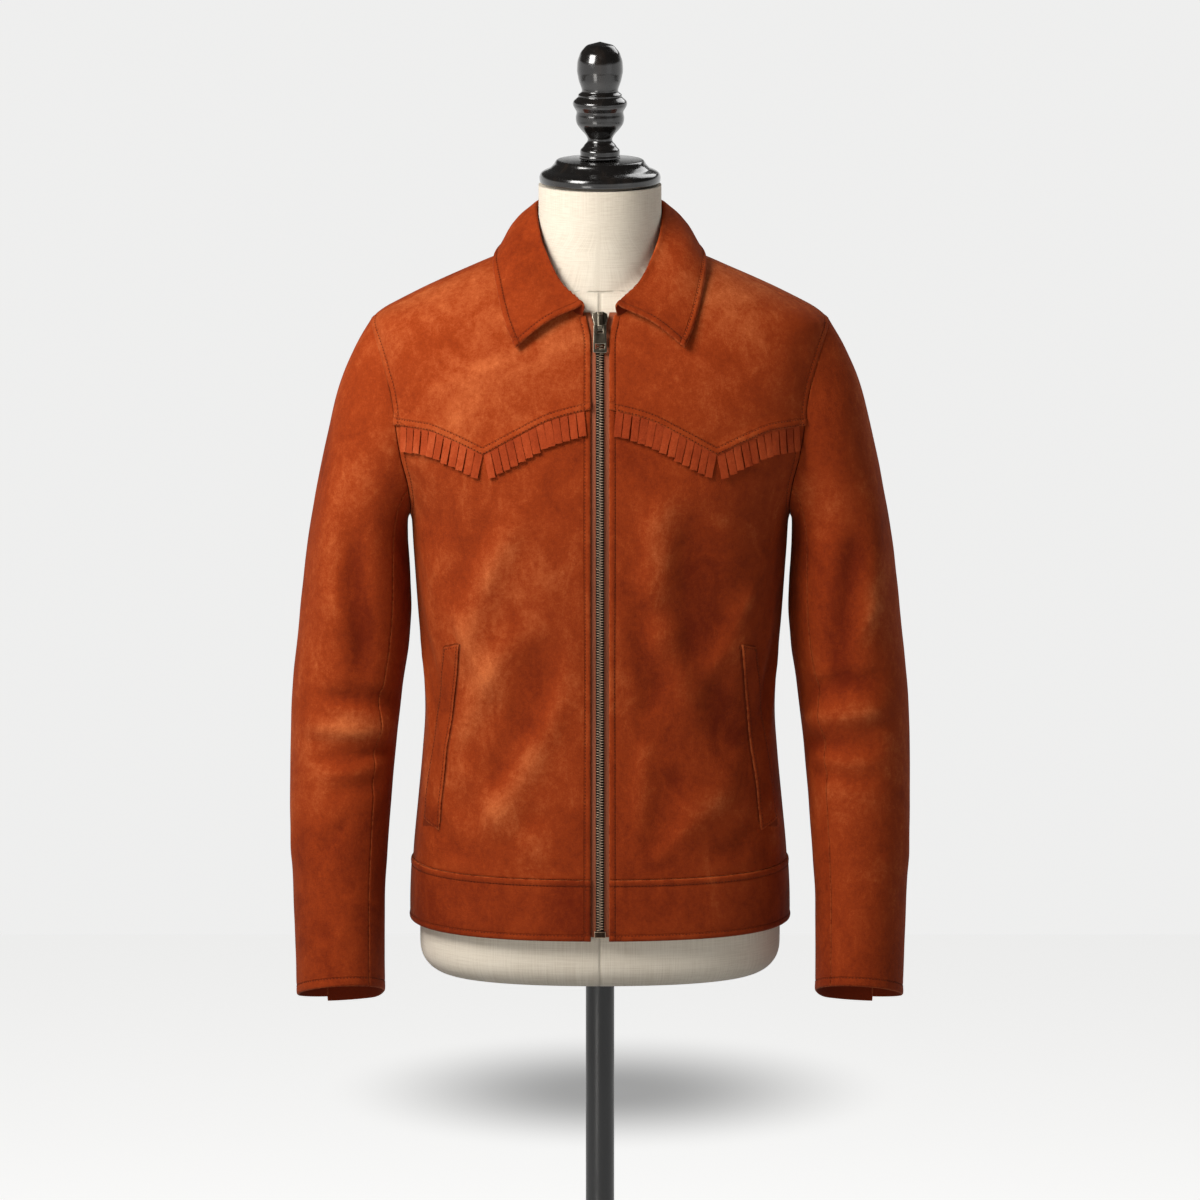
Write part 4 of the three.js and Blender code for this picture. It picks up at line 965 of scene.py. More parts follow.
@dataclass(frozen=True)
class FloorFinish:
    """Matt pale studio floor with a soft shade behind the stand."""

    light: Colour = (0.82, 0.82, 0.815)
    shade: Colour = (0.16, 0.16, 0.16)
    glow: float = 0.9
    shade_y: float = 2.85
    shade_reach: tuple[float, float] = (0.38, 0.36)

    def material(self) -> bpy.types.Material:
        """Mixes the floor paint."""
        p = Paint("studio_floor")
        away = p.node(
            "ShaderNodeMapping",
            {"vector_type": "TEXTURE"},
            {"Vector": p.place, "Location": (0.015, self.shade_y, 0.0), "Scale": (*self.shade_reach, 1.0)},
        ).outputs[0]
        far = p.num("ShaderNodeVectorMath", {"operation": "LENGTH"}, {0: away}, "Value")
        cloud = p.noise(0.7, 3, 0.5)
        colour = p.mix((1 - far.between(0.1, 1.0)) * 0.75, self.light, self.shade)
        return p.finish(
            Base_Color=colour,
            Roughness=0.85 + cloud * 0.1,
            Specular_IOR_Level=0.0,
            Emission_Color=colour,
            Emission_Strength=self.glow,
        )


def closed_mesh(name: str, points: Array, faces: Array, sharp: float = 50.0) -> bpy.types.Mesh:
    """Makes a smooth mesh that faces outwards.

    Args:
        name: The mesh's name.
        points: Its points, in millimetres.
        faces: Rows of four corners.
        sharp: Angle past which an edge stays sharp, in degrees.

    Returns:
        The mesh, in metres.
    """
    a, b, c, d = (points[faces[:, k]] for k in range(4))
    volume = np.einsum("ij,ij->", a, np.cross(b, c)) + np.einsum("ij,ij->", a, np.cross(c, d))
    facing = faces if volume > 0 else faces[:, ::-1]
    mesh = bpy.data.meshes.new(name)
    mesh.from_pydata((points * MM).tolist(), [], facing.tolist())
    mesh.shade_smooth()
    mesh.set_sharp_from_angle(angle=math.radians(sharp))
    return mesh


def add_piece(name: str, mesh: bpy.types.Mesh, material: bpy.types.Material, body: str = BODY) -> bpy.types.Object:
    """Adds a mesh to the scene and lets it ride on a body.

    Args:
        name: The piece's name.
        mesh: Its mesh, in place.
        material: Its finish.
        body: The body it moves with.

    Returns:
        The piece.
    """
    piece = bpy.data.objects.new(name, mesh)
    bpy.context.scene.collection.objects.link(piece)
    mesh.materials.clear()
    mesh.materials.append(material)
    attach(piece, body)
    return piece


def spread(length: Array, fine: Sequence[float], step: float) -> Array:
    """Places along lines of several lengths, closer at both ends.

    Args:
        length: The lines' lengths.
        fine: Places from an end.
        step: Largest step between them.

    Returns:
        A row of places for each line, all of the same count, as shares of its length.
    """
    fine = np.asarray(fine, float)
    middle = max(int(math.ceil((np.max(length) - 2 * fine[-1]) / step)), 2)
    rows = []
    for size in np.atleast_1d(length):
        near = fine * min(1.0, size / (3 * fine[-1]))
        inside = np.linspace(near[-1], size - near[-1], middle + 1)[1:-1]
        rows.append(np.concatenate([near, inside, size - near[::-1]]) / size)
    return np.array(rows)


FINE = (0.0, 0.7, 1.6, 3.2, 5.0, 6.6, 8.4, 11.5)


class Panel:
    """One cut piece of cloth: a wall over a grid of points, with its edges turned and stitched."""

    def __init__(
        self,
        points: Array,
        normals: Array,
        folds: Array,
        edges: dict[Edge, EdgeFinish],
        out: float = 0.0,
        thick: float = SUEDE,
        tone: float = 0.0,
        calm: float = 0.22,
    ) -> None:
        """Lifts the wall's faces from the grid.

        Args:
            points: Grid of points of the smooth surface, rows from the bottom edge to the top.
            normals: Directions out of the cloth.
            folds: Height of the folds at each point.
            edges: How each edge is finished.
            out: Distance of the outer face from the points.
            thick: The wall's thickness.
            tone: How much lighter this piece of hide is.
            calm: Depth of its slight unevenness.
        """
        rows, columns = points.shape[:2]
        along = np.linalg.norm(np.diff(points, axis=1), axis=-1)
        down = np.linalg.norm(np.diff(points, axis=0), axis=-1)
        across = np.concatenate([np.zeros((rows, 1)), np.cumsum(along, axis=1)], axis=1)
        up = np.concatenate([np.zeros((1, columns)), np.cumsum(down, axis=0)], axis=0)
        self.size = (float(across[:, -1].max()), float(up[-1].max()))
        self.flat = np.stack([across, up], -1)
        distance = {
            Edge.INNER: across,
            Edge.OUTER: across[:, -1:] - across,
            Edge.BOTTOM: up,
            Edge.TOP: up[-1:] - up,
        }
        z = points[..., 2]
        self.rim = np.full(z.shape, FAR)
        self.stitch = np.full(z.shape, FAR)
        height = folds + calm * ripple(points) * smooth(np.minimum.reduce(list(distance.values())), 0, 14)
        for edge, d in distance.items():
            finish = edges.get(edge, EdgeFinish())
            applies = smooth(z, finish.low - 6, finish.low) * (1 - smooth(z, finish.high, finish.high + 6))
            self.rim = np.minimum(self.rim, d)
            inside = np.clip(1 - d / (2 * finish.roll), 0, 1)
            height = height - finish.roll * (1 - np.sqrt(1 - inside**2))
            height = height + applies * finish.lift * (1 - smooth(d, 0, finish.lift_width))
            if finish.stitch:
                off = d - finish.stitch
                self.stitch = np.where((applies > 0.5) & (np.abs(off) < np.abs(self.stitch)), off, self.stitch)
                share = np.clip(d / finish.stitch, 0, 1)
                swell = finish.puff * 4 * share * (1 - share)
                height = height + applies * (swell - 0.35 * np.exp(-((off / 1.6) ** 2)))
        # The folds' height is carried to the suede, which paints the folds' ridges lighter and their troughs darker as
        # painted shade.
        self.crease = folds
        self.tone = np.full(z.shape, tone)
        self.outline = np.full(z.shape, FAR)
        self.normals = normals
        self.base = points
        self.outer = points + normals * (out + height)[..., None]
        self.inner = points + normals * (out + folds - thick)[..., None]

    def mesh(self, name: str) -> bpy.types.Mesh:
        """The closed wall as a mesh, with its attributes and a UV map in metres."""
        rows, columns = self.outer.shape[:2]
        count = rows * columns
        at = np.arange(count).reshape(rows, columns)
        a, b, c, d = at[:-1, :-1], at[:-1, 1:], at[1:, 1:], at[1:, :-1]
        front = np.stack([a, b, c, d], -1).reshape(-1, 4)
        back = front[:, ::-1] + count
        ring = np.concatenate([at[0, :-1], at[:-1, -1], at[-1, :0:-1], at[:0:-1, 0]])
        following = np.roll(ring, -1)
        rim = np.stack([ring, ring + count, following + count, following], -1)
        points = np.concatenate([self.outer.reshape(-1, 3), self.inner.reshape(-1, 3)])
        mesh = closed_mesh(name, points, np.concatenate([front, back, rim]))
        for key in ("rim", "stitch", "crease", "tone", "outline"):
            values = np.tile(getattr(self, key).reshape(-1), 2).astype(np.float32)
            if key == "stitch":
                values[count:] = FAR
            # Inner faces are painted darker as shade inside the jacket.
            if key == "tone":
                values[count:] -= INSIDE_PAINTED_SHADE
            mesh.attributes.new(key, "FLOAT", "POINT").data.foreach_set("value", values)
        flat = np.tile(self.flat.reshape(-1, 2) * MM, (2, 1))
        corners = np.empty(len(mesh.loops), dtype=np.int32)
        mesh.loops.foreach_get("vertex_index", corners)
        mesh.uv_layers.new(name="cloth").uv.foreach_set("vector", flat[corners].astype(np.float32).ravel())
        return mesh

    def line(self, edge: Edge, inside: float, trim: float = 4.0, low: float = -1e6, high: float = 1e6) -> Line:
        """A line on the outer face, beside an edge.

        Args:
            edge: The edge it follows.
            inside: Its distance from the edge.
            trim: How far it stops short of the panel's other edges.
            low: Lowest height it is kept at.
            high: Highest one.

        Returns:
            Its points and the cloth's normals there.
        """
        points, normals = self.outer, self.normals
        if edge in (Edge.BOTTOM, Edge.TOP):
            points, normals = points.transpose(1, 0, 2), normals.transpose(1, 0, 2)
        if edge in (Edge.OUTER, Edge.TOP):
            points, normals = points[:, ::-1], normals[:, ::-1]
        found, facing = [], []
        for row, out in zip(points, normals):
            run = np.concatenate([[0], np.cumsum(np.linalg.norm(np.diff(row, axis=0), axis=-1))])
            found.append([np.interp(inside, run, row[:, k]) for k in range(3)])
            facing.append([np.interp(inside, run, out[:, k]) for k in range(3)])
        line, out = np.array(found), unit(np.array(facing))
        run = np.concatenate([[0], np.cumsum(np.linalg.norm(np.diff(line, axis=0), axis=-1))])
        keep = (run >= trim) & (run <= run[-1] - trim) & (line[:, 2] >= low) & (line[:, 2] <= high)
        return line[keep], out[keep]


def body_panel(
    bottom: Callable[[Array], Array],
    top: Callable[[Array], Array],
    inner: Callable[[Array], Array],
    outer: Callable[[Array], Array],
    side: int,
    edges: dict[Edge, EdgeFinish],
    step: float = 5.0,
    **wall: float,
) -> Panel:
    """A panel of the body between four edges.

    Args:
        bottom: Its lower edge, from 0..1 to pairs of turn and height.
        top: Its upper edge.
        inner: Its edge towards the centre.
        outer: Its far edge.
        side: 1 for the wearer's left, -1 for the right.
        edges: How each edge is finished.
        step: Grid step, in millimetres.
        **wall: Further arguments of Panel.

    Returns:
        The panel.
    """

    def fill(u: Array, v: Array) -> Array:
        """Turns and heights inside the four edges."""
        u3, v3 = u[..., None], v[..., None]
        zero, one = np.zeros(1), np.ones(1)
        ruled = (1 - v3) * bottom(u) + v3 * top(u) + (1 - u3) * inner(v) + u3 * outer(v)
        low = (1 - v3) * ((1 - u3) * bottom(zero) + u3 * bottom(one))
        high = v3 * ((1 - u3) * top(zero) + u3 * top(one))
        return ruled - low - high

    even = np.linspace(0, 1, 33)
    v, u = np.meshgrid(even, even, indexing="ij")
    coarse = fill(u, v)
    points = TORSO.point(coarse[..., 0], coarse[..., 1])
    widths = np.linalg.norm(np.diff(points, axis=1), axis=-1).sum(1)
    heights = np.linalg.norm(np.diff(points, axis=0), axis=-1).sum(0)
    nominal_v = spread(np.array([heights.mean()]), FINE, step)[0]
    nominal_u = spread(np.array([widths.mean()]), FINE, step)[0]
    u_rows = spread(np.interp(nominal_v, even, widths), FINE, step * widths.max() / widths.mean())
    v_rows = spread(np.interp(np.linspace(0, 1, u_rows.shape[1]), even, heights), FINE, step)
    rows = spread(np.interp(np.linspace(0, 1, v_rows.shape[1]), even, widths), FINE, step * widths.max() / widths.mean())
    columns = min(rows.shape[1], v_rows.shape[0])
    del nominal_u
    grid_u, grid_v = rows[:, :columns], v_rows[:columns].T
    placed = fill(grid_u, grid_v)
    turn, z = side * placed[..., 0], placed[..., 1]
    return Panel(TORSO.point(turn, z), TORSO.normal(turn, z), jacket_fold(turn, z), edges, **wall)


@dataclass
class Lines:
    """Collects the lines along which the jacket is sewn."""

    suede: list[Line] = field(default_factory=list)
    linen: list[Line] = field(default_factory=list)

    def add(self, *lines: Line) -> None:
        """Adds rows of topstitching on the suede."""
        self.suede.extend(line for line in lines if len(line[0]) > 1)


def path_object(name: str, lines: Sequence[Line], lift: float, across: Array | None = None) -> bpy.types.Object:
    """A mesh of bare edges along lines, carrying the cloth's normals as the attribute out.

    Args:
        name: Its name.
        lines: Points and normals of each line, in millimetres.
        lift: How far the points are moved off the cloth.
        across: Directions for the attribute across, or None.

    Returns:
        The object, in metres.
    """
    points = np.concatenate([line + out * lift for line, out in lines])
    normals = np.concatenate([out for _, out in lines])
    edges, start = [], 0
    for line, _ in lines:
        edges += [(i, i + 1) for i in range(start, start + len(line) - 1)]
        start += len(line)
    mesh = bpy.data.meshes.new(name)
    mesh.from_pydata((points * MM).tolist(), edges, [])
    out = mesh.attributes.new("out", "FLOAT_VECTOR", "POINT")
    out.data.foreach_set("vector", normals.astype(np.float32).ravel())
    if across is not None:
        held = mesh.attributes.new("across", "FLOAT_VECTOR", "POINT")
        held.data.foreach_set("vector", across.astype(np.float32).ravel())
    made = bpy.data.objects.new(name, mesh)
    bpy.context.scene.collection.objects.link(made)
    return made


class Repeat(Nodes):
    """A geometry tree that sets copies along paths."""

    def __init__(self, name: str, inputs: dict[str, tuple[str, Any]]) -> None:
        """Starts the tree.

        Args:
            name: The tree's name.
            inputs: Socket type and value of each named input.
        """
        super().__init__(bpy.data.node_groups.new(name, "GeometryNodeTree"))
        face = self.tree.interface
        face.new_socket(name="Geometry", in_out="INPUT", socket_type="NodeSocketGeometry")
        face.new_socket(name="Geometry", in_out="OUTPUT", socket_type="NodeSocketGeometry")
        self.values = {}
        for key, (kind, value) in inputs.items():
            socket = face.new_socket(name=key, in_out="INPUT", socket_type=kind)
            self.values[socket.identifier] = value
        self.source = self.node("NodeGroupInput")

    def given(self, name: str) -> bpy.types.NodeSocket:
        """The named input."""
        return self.source.outputs[name]

    def points_along(self, pitch: Any) -> bpy.types.NodeSocket:
        """Curve points along the paths, a pitch apart."""
        curve = self.node("GeometryNodeMeshToCurve", {}, {"Mesh": self.given("Geometry")})
        return self.node("GeometryNodeResampleCurve", {"mode": "LENGTH"}, {"Curve": curve, "Length": pitch}).outputs[0]

    def carried(self, name: str) -> bpy.types.Node:
        """A direction that the path carries."""
        return self.node("GeometryNodeInputNamedAttribute", {"data_type": "FLOAT_VECTOR"}, {"Name": name})

    def facing(self, spin: Any = None, along: str | None = None) -> bpy.types.NodeSocket:
        """A rotation whose X follows the path and whose Z points out of the cloth.

        Args:
            spin: A further turn about Z, in radians, or None.
            along: A carried direction that X follows in the path's place, or None.

        Returns:
            The rotation's socket.
        """
        out = self.carried("out")
        tangent = self.carried(along) if along else self.node("GeometryNodeInputTangent")
        first = self.node("FunctionNodeAlignRotationToVector", {"axis": "Z"}, {"Vector": out.outputs[0]})
        second = self.node(
            "FunctionNodeAlignRotationToVector",
            {"axis": "X", "pivot_axis": "Z"},
            {"Rotation": first, "Vector": tangent},
        )
        if spin is None:
            return second.outputs[0]
        angles = self.node("ShaderNodeCombineXYZ", {}, {"Z": spin})
        turn = self.node("FunctionNodeEulerToRotation", {}, {"Euler": angles})
        return self.node(
            "FunctionNodeRotateRotation", {"rotation_space": "LOCAL"}, {"Rotation": second, "Rotate By": turn}
        ).outputs[0]

    def random(self, low: float, high: float, seed: int) -> Num:
        """A random value for each copy, from a fixed seed."""
        return self.num(
            "FunctionNodeRandomValue", {"data_type": "FLOAT"}, {2: low, 3: high, "Seed": seed}, 1
        )

    def close(self, geometry: Any, material: bpy.types.Material) -> None:
        """Ends the tree: real copies, smooth, with their material."""
        real = self.node("GeometryNodeRealizeInstances", {}, {0: geometry})
        smooth_faces = self.node("GeometryNodeSetShadeSmooth", {}, {0: real})
        painted = self.node("GeometryNodeSetMaterial", {}, {"Geometry": smooth_faces, "Material": material})
        self.node("NodeGroupOutput", {}, {0: painted})

    def apply(self, target: bpy.types.Object, name: str, material: bpy.types.Material) -> bpy.types.Object:
        """Runs the tree on an object and keeps the result as a plain mesh.

        Args:
            target: The object that holds the paths.
            name: The finished piece's name.
            material: Its finish.

        Returns:
            The piece, riding on the jacket's body.
        """
        modifier = target.modifiers.new(self.tree.name, "NODES")
        modifier.node_group = self.tree
        for identifier, value in self.values.items():
            modifier[identifier] = value
        bpy.context.view_layer.update()
        graph = bpy.context.evaluated_depsgraph_get()
        mesh = bpy.data.meshes.new_from_object(target.evaluated_get(graph))
        mesh.name = name
        target.modifiers.clear()
        bpy.data.objects.remove(target)
        for key in ("out", "across"):
            if key in mesh.attributes:
                mesh.attributes.remove(mesh.attributes[key])
        return add_piece(name, mesh, material)


@dataclass
class Stitching:
    """Rows of thread, each stitch a short bead sunk into the suede."""

    pitch: float = 3.4
    length: float = 2.0
    width: float = 1.1
    depth: float = 0.6
    seed: int = 7

    def build(self, name: str, lines: Sequence[Line], material: bpy.types.Material) -> bpy.types.Object:
        """Sews along the lines.

        Args:
            name: The piece's name.
            lines: The lines to sew.
            material: The thread.

        Returns:
            All the stitches as one piece.
        """
        tree = Repeat(
            name,
            {
                "Pitch": ("NodeSocketFloat", self.pitch * MM),
                "Stitch length": ("NodeSocketFloat", self.length * MM),
                "Thread": ("NodeSocketFloat", self.width * MM),
                "Depth": ("NodeSocketFloat", self.depth * MM),
            },
        )
        points = tree.points_along(tree.given("Pitch"))
        bead = tree.node("GeometryNodeMeshUVSphere", {}, {"Segments": 6, "Rings": 4, "Radius": 0.5})
        uneven = tree.random(0.88, 1.06, self.seed)
        size = tree.node(
            "ShaderNodeCombineXYZ",
            {},
            {
                0: Num(tree, tree.given("Stitch length")) * uneven,
                1: tree.given("Thread"),
                2: tree.given("Depth"),
            },
        )
        copies = tree.node(
            "GeometryNodeInstanceOnPoints",
            {},
            {
                "Points": points,
                "Instance": bead,
                "Rotation": tree.facing(tree.random(-0.12, 0.12, self.seed + 1)),
                "Scale": size,
            },
        )
        tree.close(copies, material)
        return tree.apply(path_object(name + "_path", lines, 0.12), name, material)


@dataclass(frozen=True)
class Lamp:
    """A square soft light that looks at the jacket."""

    name: str
    place: tuple[float, float, float]
    size: float
    power: float
    colour: Colour = (1.0, 1.0, 1.0)

    def build(self, look_z: float) -> None:
        """Adds the light.

        Args:
            look_z: Height it is aimed at, in metres.
        """
        data = bpy.data.lights.new(self.name, "AREA")
        data.shape = "SQUARE"
        data.size, data.energy, data.color = self.size, self.power, self.colour
        holder = bpy.data.objects.new(self.name, data)
        bpy.context.scene.collection.objects.link(holder)
        holder.location = self.place
        holder.visible_camera = False
        holder.rotation_euler = (Vector((0, 0, look_z)) - Vector(self.place)).to_track_quat("-Z", "Y").to_euler()


@dataclass
class Studio:
    """Pale floor, soft lights and the camera in front."""

    distance: float = 10.0
    field: float = 1.2
    look_z: float = 1.15
    elevation: float = 10.0
    floor_half: float = 3.83
    sky_bright: float = 0.86
    sky_dim: float = 0.05
    lamps: tuple[Lamp, ...] = (
        Lamp("key", (-1.15, -1.1, 2.5), 0.9, 48.0, (1.0, 0.985, 0.96)),
        Lamp("rim", (0.9, 1.3, 2.6), 1.0, 9.0),
        Lamp("fill", (2.4, -2.2, 1.7), 1.6, 2.0, (0.97, 0.985, 1.0)),
        Lamp("low", (-1.2, -2.5, 0.5), 0.8, 9.0, (1.0, 0.97, 0.93)),
    )

    def build(self) -> None:
        """Adds the floor, the lights, the sky and the camera."""
        half = self.floor_half
        mesh = bpy.data.meshes.new("floor")
        mesh.from_pydata([(-half, -half, 0), (half, -half, 0), (half, half, 0), (-half, half, 0)], [], [(0, 1, 2, 3)])
        floor = bpy.data.objects.new("floor", mesh)
        bpy.context.scene.collection.objects.link(floor)
        mesh.materials.append(FloorFinish().material())
        floor.visible_diffuse = False
        self.sky()
        for lamp in self.lamps:
            lamp.build(self.look_z)
        self.camera()
        bpy.context.scene.view_settings.view_transform = "Standard"

    def sky(self) -> None:
        """Adds a pale surround: a near-white band at the horizon, dim above and below."""
        world = bpy.data.worlds.new("studio")
        world.use_nodes = True
        bpy.context.scene.world = world
        nodes = Nodes(world.node_tree)
        nodes.tree.nodes.clear()
        place = nodes.node("ShaderNodeTexCoord").outputs["Generated"]
        height = nodes.num("ShaderNodeSeparateXYZ", {}, {"Vector": place}, "Z")
        band = height.between(-0.38, -0.29) * (1 - height.between(0.06, 0.2))
        strength = self.sky_dim + band * (self.sky_bright - self.sky_dim)
        light = nodes.node("ShaderNodeBackground", {}, {"Color": (1.0, 1.0, 0.995, 1.0), "Strength": strength})
        nodes.node("ShaderNodeOutputWorld", {}, {"Surface": light})

    def camera(self) -> None:
        """Adds the camera: a long lens in front, a little above."""
        camera = bpy.data.cameras.new("front_camera")
        camera.sensor_width = 36.0
        camera.lens = camera.sensor_width * self.distance / self.field
        camera.clip_end = 200.0
        holder = bpy.data.objects.new("front_camera", camera)
        bpy.context.scene.collection.objects.link(holder)
        tilt = math.radians(self.elevation)
        back = Vector((0, -math.cos(tilt), math.sin(tilt)))
        holder.location = Vector((0, 0, self.look_z)) + back * self.distance
        holder.rotation_euler = (-back).to_track_quat("-Z", "Y").to_euler()
        bpy.context.scene.camera = holder


@dataclass
class Turned:
    """A turned piece: a profile of radius and height, spun round the upright axis."""

    name: str
    node: str
    slot: str
    profile: Sequence[tuple[float, float]]
    segments: int = 96

    def build(self, material: bpy.types.Material) -> bpy.types.Object:
        """Spins the profile and replaces its solid."""
        rows = np.array(self.profile, float)
        step = 2 * math.pi / self.segments
        angle = np.arange(self.segments) * step
        points = [(0.0, 0.0, rows[0][1])]
        for radius, z in rows[1:-1]:
            points += [(radius * math.cos(a), radius * math.sin(a), z) for a in angle]
        points.append((0.0, 0.0, rows[-1][1]))
        n, last = self.segments, len(points) - 1
        faces = []
        for i in range(n):
            j = (i + 1) % n
            faces.append((0, 1 + j, 1 + i))
            for r in range(len(rows) - 3):
                low = 1 + r * n
                faces.append((low + i, low + j, low + n + j, low + n + i))
            top = 1 + (len(rows) - 3) * n
            faces.append((last, top + i, top + j))
        mesh = bpy.data.meshes.new(self.name)
        mesh.from_pydata([(x * MM, y * MM, z * MM) for x, y, z in points], [], faces)
        mesh.shade_smooth()
        mesh.set_sharp_from_angle(angle=math.radians(38))
        piece = add_piece(self.name, mesh, material)
        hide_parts(self.node)
        return piece


def rounded_profile(rows: Sequence[tuple[float, float]], bend: float, steps: int = 4) -> list[tuple[float, float]]:
    """Rounds a profile's corners.

    Args:
        rows: Radius and height of each corner.
        bend: How much of each side a corner's round may take, in millimetres.
        steps: Number of faces in each round.

    Returns:
        The finer profile, with its ends kept.
    """
    rows = [np.array(row, float) for row in rows]
    made = [rows[0]]
    for before, corner, after in zip(rows, rows[1:], rows[2:]):
        back, on = before - corner, after - corner
        reach_back = min(bend, 0.45 * np.linalg.norm(back))
        reach_on = min(bend, 0.45 * np.linalg.norm(on))
        start = corner + back / np.linalg.norm(back) * reach_back
        end = corner + on / np.linalg.norm(on) * reach_on
        for t in np.linspace(0, 1, steps + 1):
            made.append((1 - t) ** 2 * start + 2 * t * (1 - t) * corner + t * t * end)
    made.append(rows[-1])
    return [(float(r), float(z)) for r, z in made]


CAP_PROFILE = (
    (0, 1569.3), (57, 1569.3), (60, 1572), (60.3, 1577), (59, 1580.5), (56, 1582.5), (50, 1585), (46, 1589),
    (44.5, 1592), (43, 1593.7), (0, 1594),
)
FINIAL_PROFILE = (
    (0, 1594.3), (20.5, 1594.3), (20.5, 1597.5), (19.5, 1598.5), (20, 1603.5), (17, 1606.3), (15.5, 1608.9),
    (12.8, 1611.5), (12, 1614.5), (14, 1618.5), (19.5, 1624.5), (23.5, 1630), (24.3, 1636), (23, 1641.5),
    (24.5, 1644), (27, 1648), (27, 1652), (23.5, 1655), (21.5, 1657), (22, 1659), (18, 1661.5), (18.3, 1665),
    (21, 1672), (23, 1682), (22.5, 1692), (19.5, 1701), (13.5, 1708), (0, 1711.5),
)
BASE_PROFILE = (
    (0, 0), (188, 0), (190, 2), (190, 8), (185, 11.5), (60, 17), (32, 21), (25, 28), (23, 44), (21, 46), (0, 46),
)
POLE_PROFILE = ((0, 46.3), (14.3, 46.3), (14.3, 774.7), (0, 774.7))


@dataclass
class DressForm:
    """The limbless form: a hard body under linen, with a round neck."""

    round_radius: float = 26.0
    columns: int = 180
    row_step: float = 5.0
    seam_turns: tuple[float, ...] = (0.0, 35.0, 90.0, 145.0, 180.0, 215.0, 270.0, 325.0)
    neck_seam_z: float = 1470.0
    ease: Curve = field(default_factory=lambda: Curve(FORM_EASE_ROWS))
    plate: Curve = field(default_factory=lambda: Curve(FORM_PLATE_ROWS))

    def ring(self, z: float, inset: float) -> Array:
        """One ring of the form.

        Args:
            z: Its height.
            inset: How far it is drawn in at the lower edge.

        Returns:
            Its points.
        """
        turn = np.arange(self.columns) * 360.0 / self.columns
        front = np.maximum(np.cos(np.radians(turn)), 0) ** 2
        ease = self.ease(z) + FORM_FRONT_EASE * front + inset
        points = TORSO.point(turn, z) - TORSO.normal(turn, np.full(turn.shape, z)) * ease[:, None]
        if z > FORM_PLATE_ROWS[0][0]:
            points[:, 0] = np.clip(points[:, 0], -self.plate(z), self.plate(z))
        low = TORSO.point(turn, min(z, NECK_SIDE_Z))
        slid = np.unwrap(np.arctan2(low[:, 0], -low[:, 1]))
        angle = slid + (np.radians(turn) - slid) * smooth(z, NECK_SIDE_Z - 40, NECK_SIDE_Z + 25)
        neck = np.stack([NECK_RADIUS * np.sin(angle), -NECK_RADIUS * np.cos(angle), np.full(turn.shape, z)], -1)
        inside = np.hypot(points[:, 0], points[:, 1]) < NECK_RADIUS
        use_neck = (z > NECK_SIDE_Z) | ((z > NECK_FRONT_Z) & inside)
        return np.where(np.broadcast_to(use_neck, turn.shape)[:, None], neck, points)

    def build(self, material: bpy.types.Material) -> bpy.types.Object:
        """Lofts the rings, marks the cover's seams and replaces the solid."""
        share = np.linspace(0, 1, 12)
        rows = [
            (FORM_BOTTOM_Z + self.round_radius * (1 - math.cos(s * math.pi / 2)),
             self.round_radius * (1 - math.sin(s * math.pi / 2)))
            for s in share
        ]
        rows += [(z, 0.0) for z in np.arange(rows[-1][0] + self.row_step, 1430, self.row_step)]
        at_seam = self.neck_seam_z + np.array([-1.5, 0, 1.5])
        rows += [(z, 0.0) for z in np.union1d(np.linspace(1431, FORM_TOP_Z, 56), at_seam)]
        rings = np.array([self.ring(z, inset) for z, inset in rows])
        on_neck = np.abs(np.hypot(rings[..., 0], rings[..., 1]) - NECK_RADIUS) < 0.01
        for _ in range(3):
            middle = (rings[2:] + rings[:-2]) / 2
            eased = 0.5 * rings[1:-1] + 0.5 * middle
            rings[1:-1] = np.where(on_neck[1:-1, :, None], rings[1:-1], eased)
        count, columns = rings.shape[:2]
        points = np.concatenate([rings.reshape(-1, 3), [[0, 0, FORM_BOTTOM_Z], [0, 0, FORM_TOP_Z]]])
        faces = []
        for r in range(count - 1):
            for c in range(columns):
                d = (c + 1) % columns
                faces.append((r * columns + c, r * columns + d, (r + 1) * columns + d, (r + 1) * columns + c))
        bottom, top = count * columns, count * columns + 1
        for c in range(columns):
            d = (c + 1) % columns
            faces.append((bottom, d, c))
            faces.append((top, (count - 1) * columns + c, (count - 1) * columns + d))
        mesh = bpy.data.meshes.new("form_cover")
        mesh.from_pydata((points * MM).tolist(), [], faces)
        mesh.shade_smooth()
        mesh.set_sharp_from_angle(angle=math.radians(55))
        turn = np.tile(np.arange(columns) * 360.0 / columns, count)
        radius = np.hypot(points[:-2, 0], points[:-2, 1])
        z = points[:-2, 2]
        seam = np.full(len(z), FAR)
        for line in self.seam_turns:
            away = np.abs((turn - line + 180) % 360 - 180)
            seam = np.minimum(seam, np.radians(away) * radius)
        seam = np.where(z > self.neck_seam_z - 1, np.minimum(FAR, seam + 30), seam)
        seam = np.minimum(seam, np.abs(z - self.neck_seam_z))
        values = np.concatenate([seam, [FAR, FAR]]).astype(np.float32)
        mesh.attributes.new("seam", "FLOAT", "POINT").data.foreach_set("value", values)
        corners = np.empty(len(mesh.loops), dtype=np.int32)
        mesh.loops.foreach_get("vertex_index", corners)
        flat = np.concatenate([np.stack([turn * 2.9, z], -1), [[0, 0], [0, 0]]]) * MM
        mesh.uv_layers.new(name="cloth").uv.foreach_set("vector", flat[corners].astype(np.float32).ravel())
        piece = add_piece("form_cover", mesh, material)
        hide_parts("form_torso")
        return piece


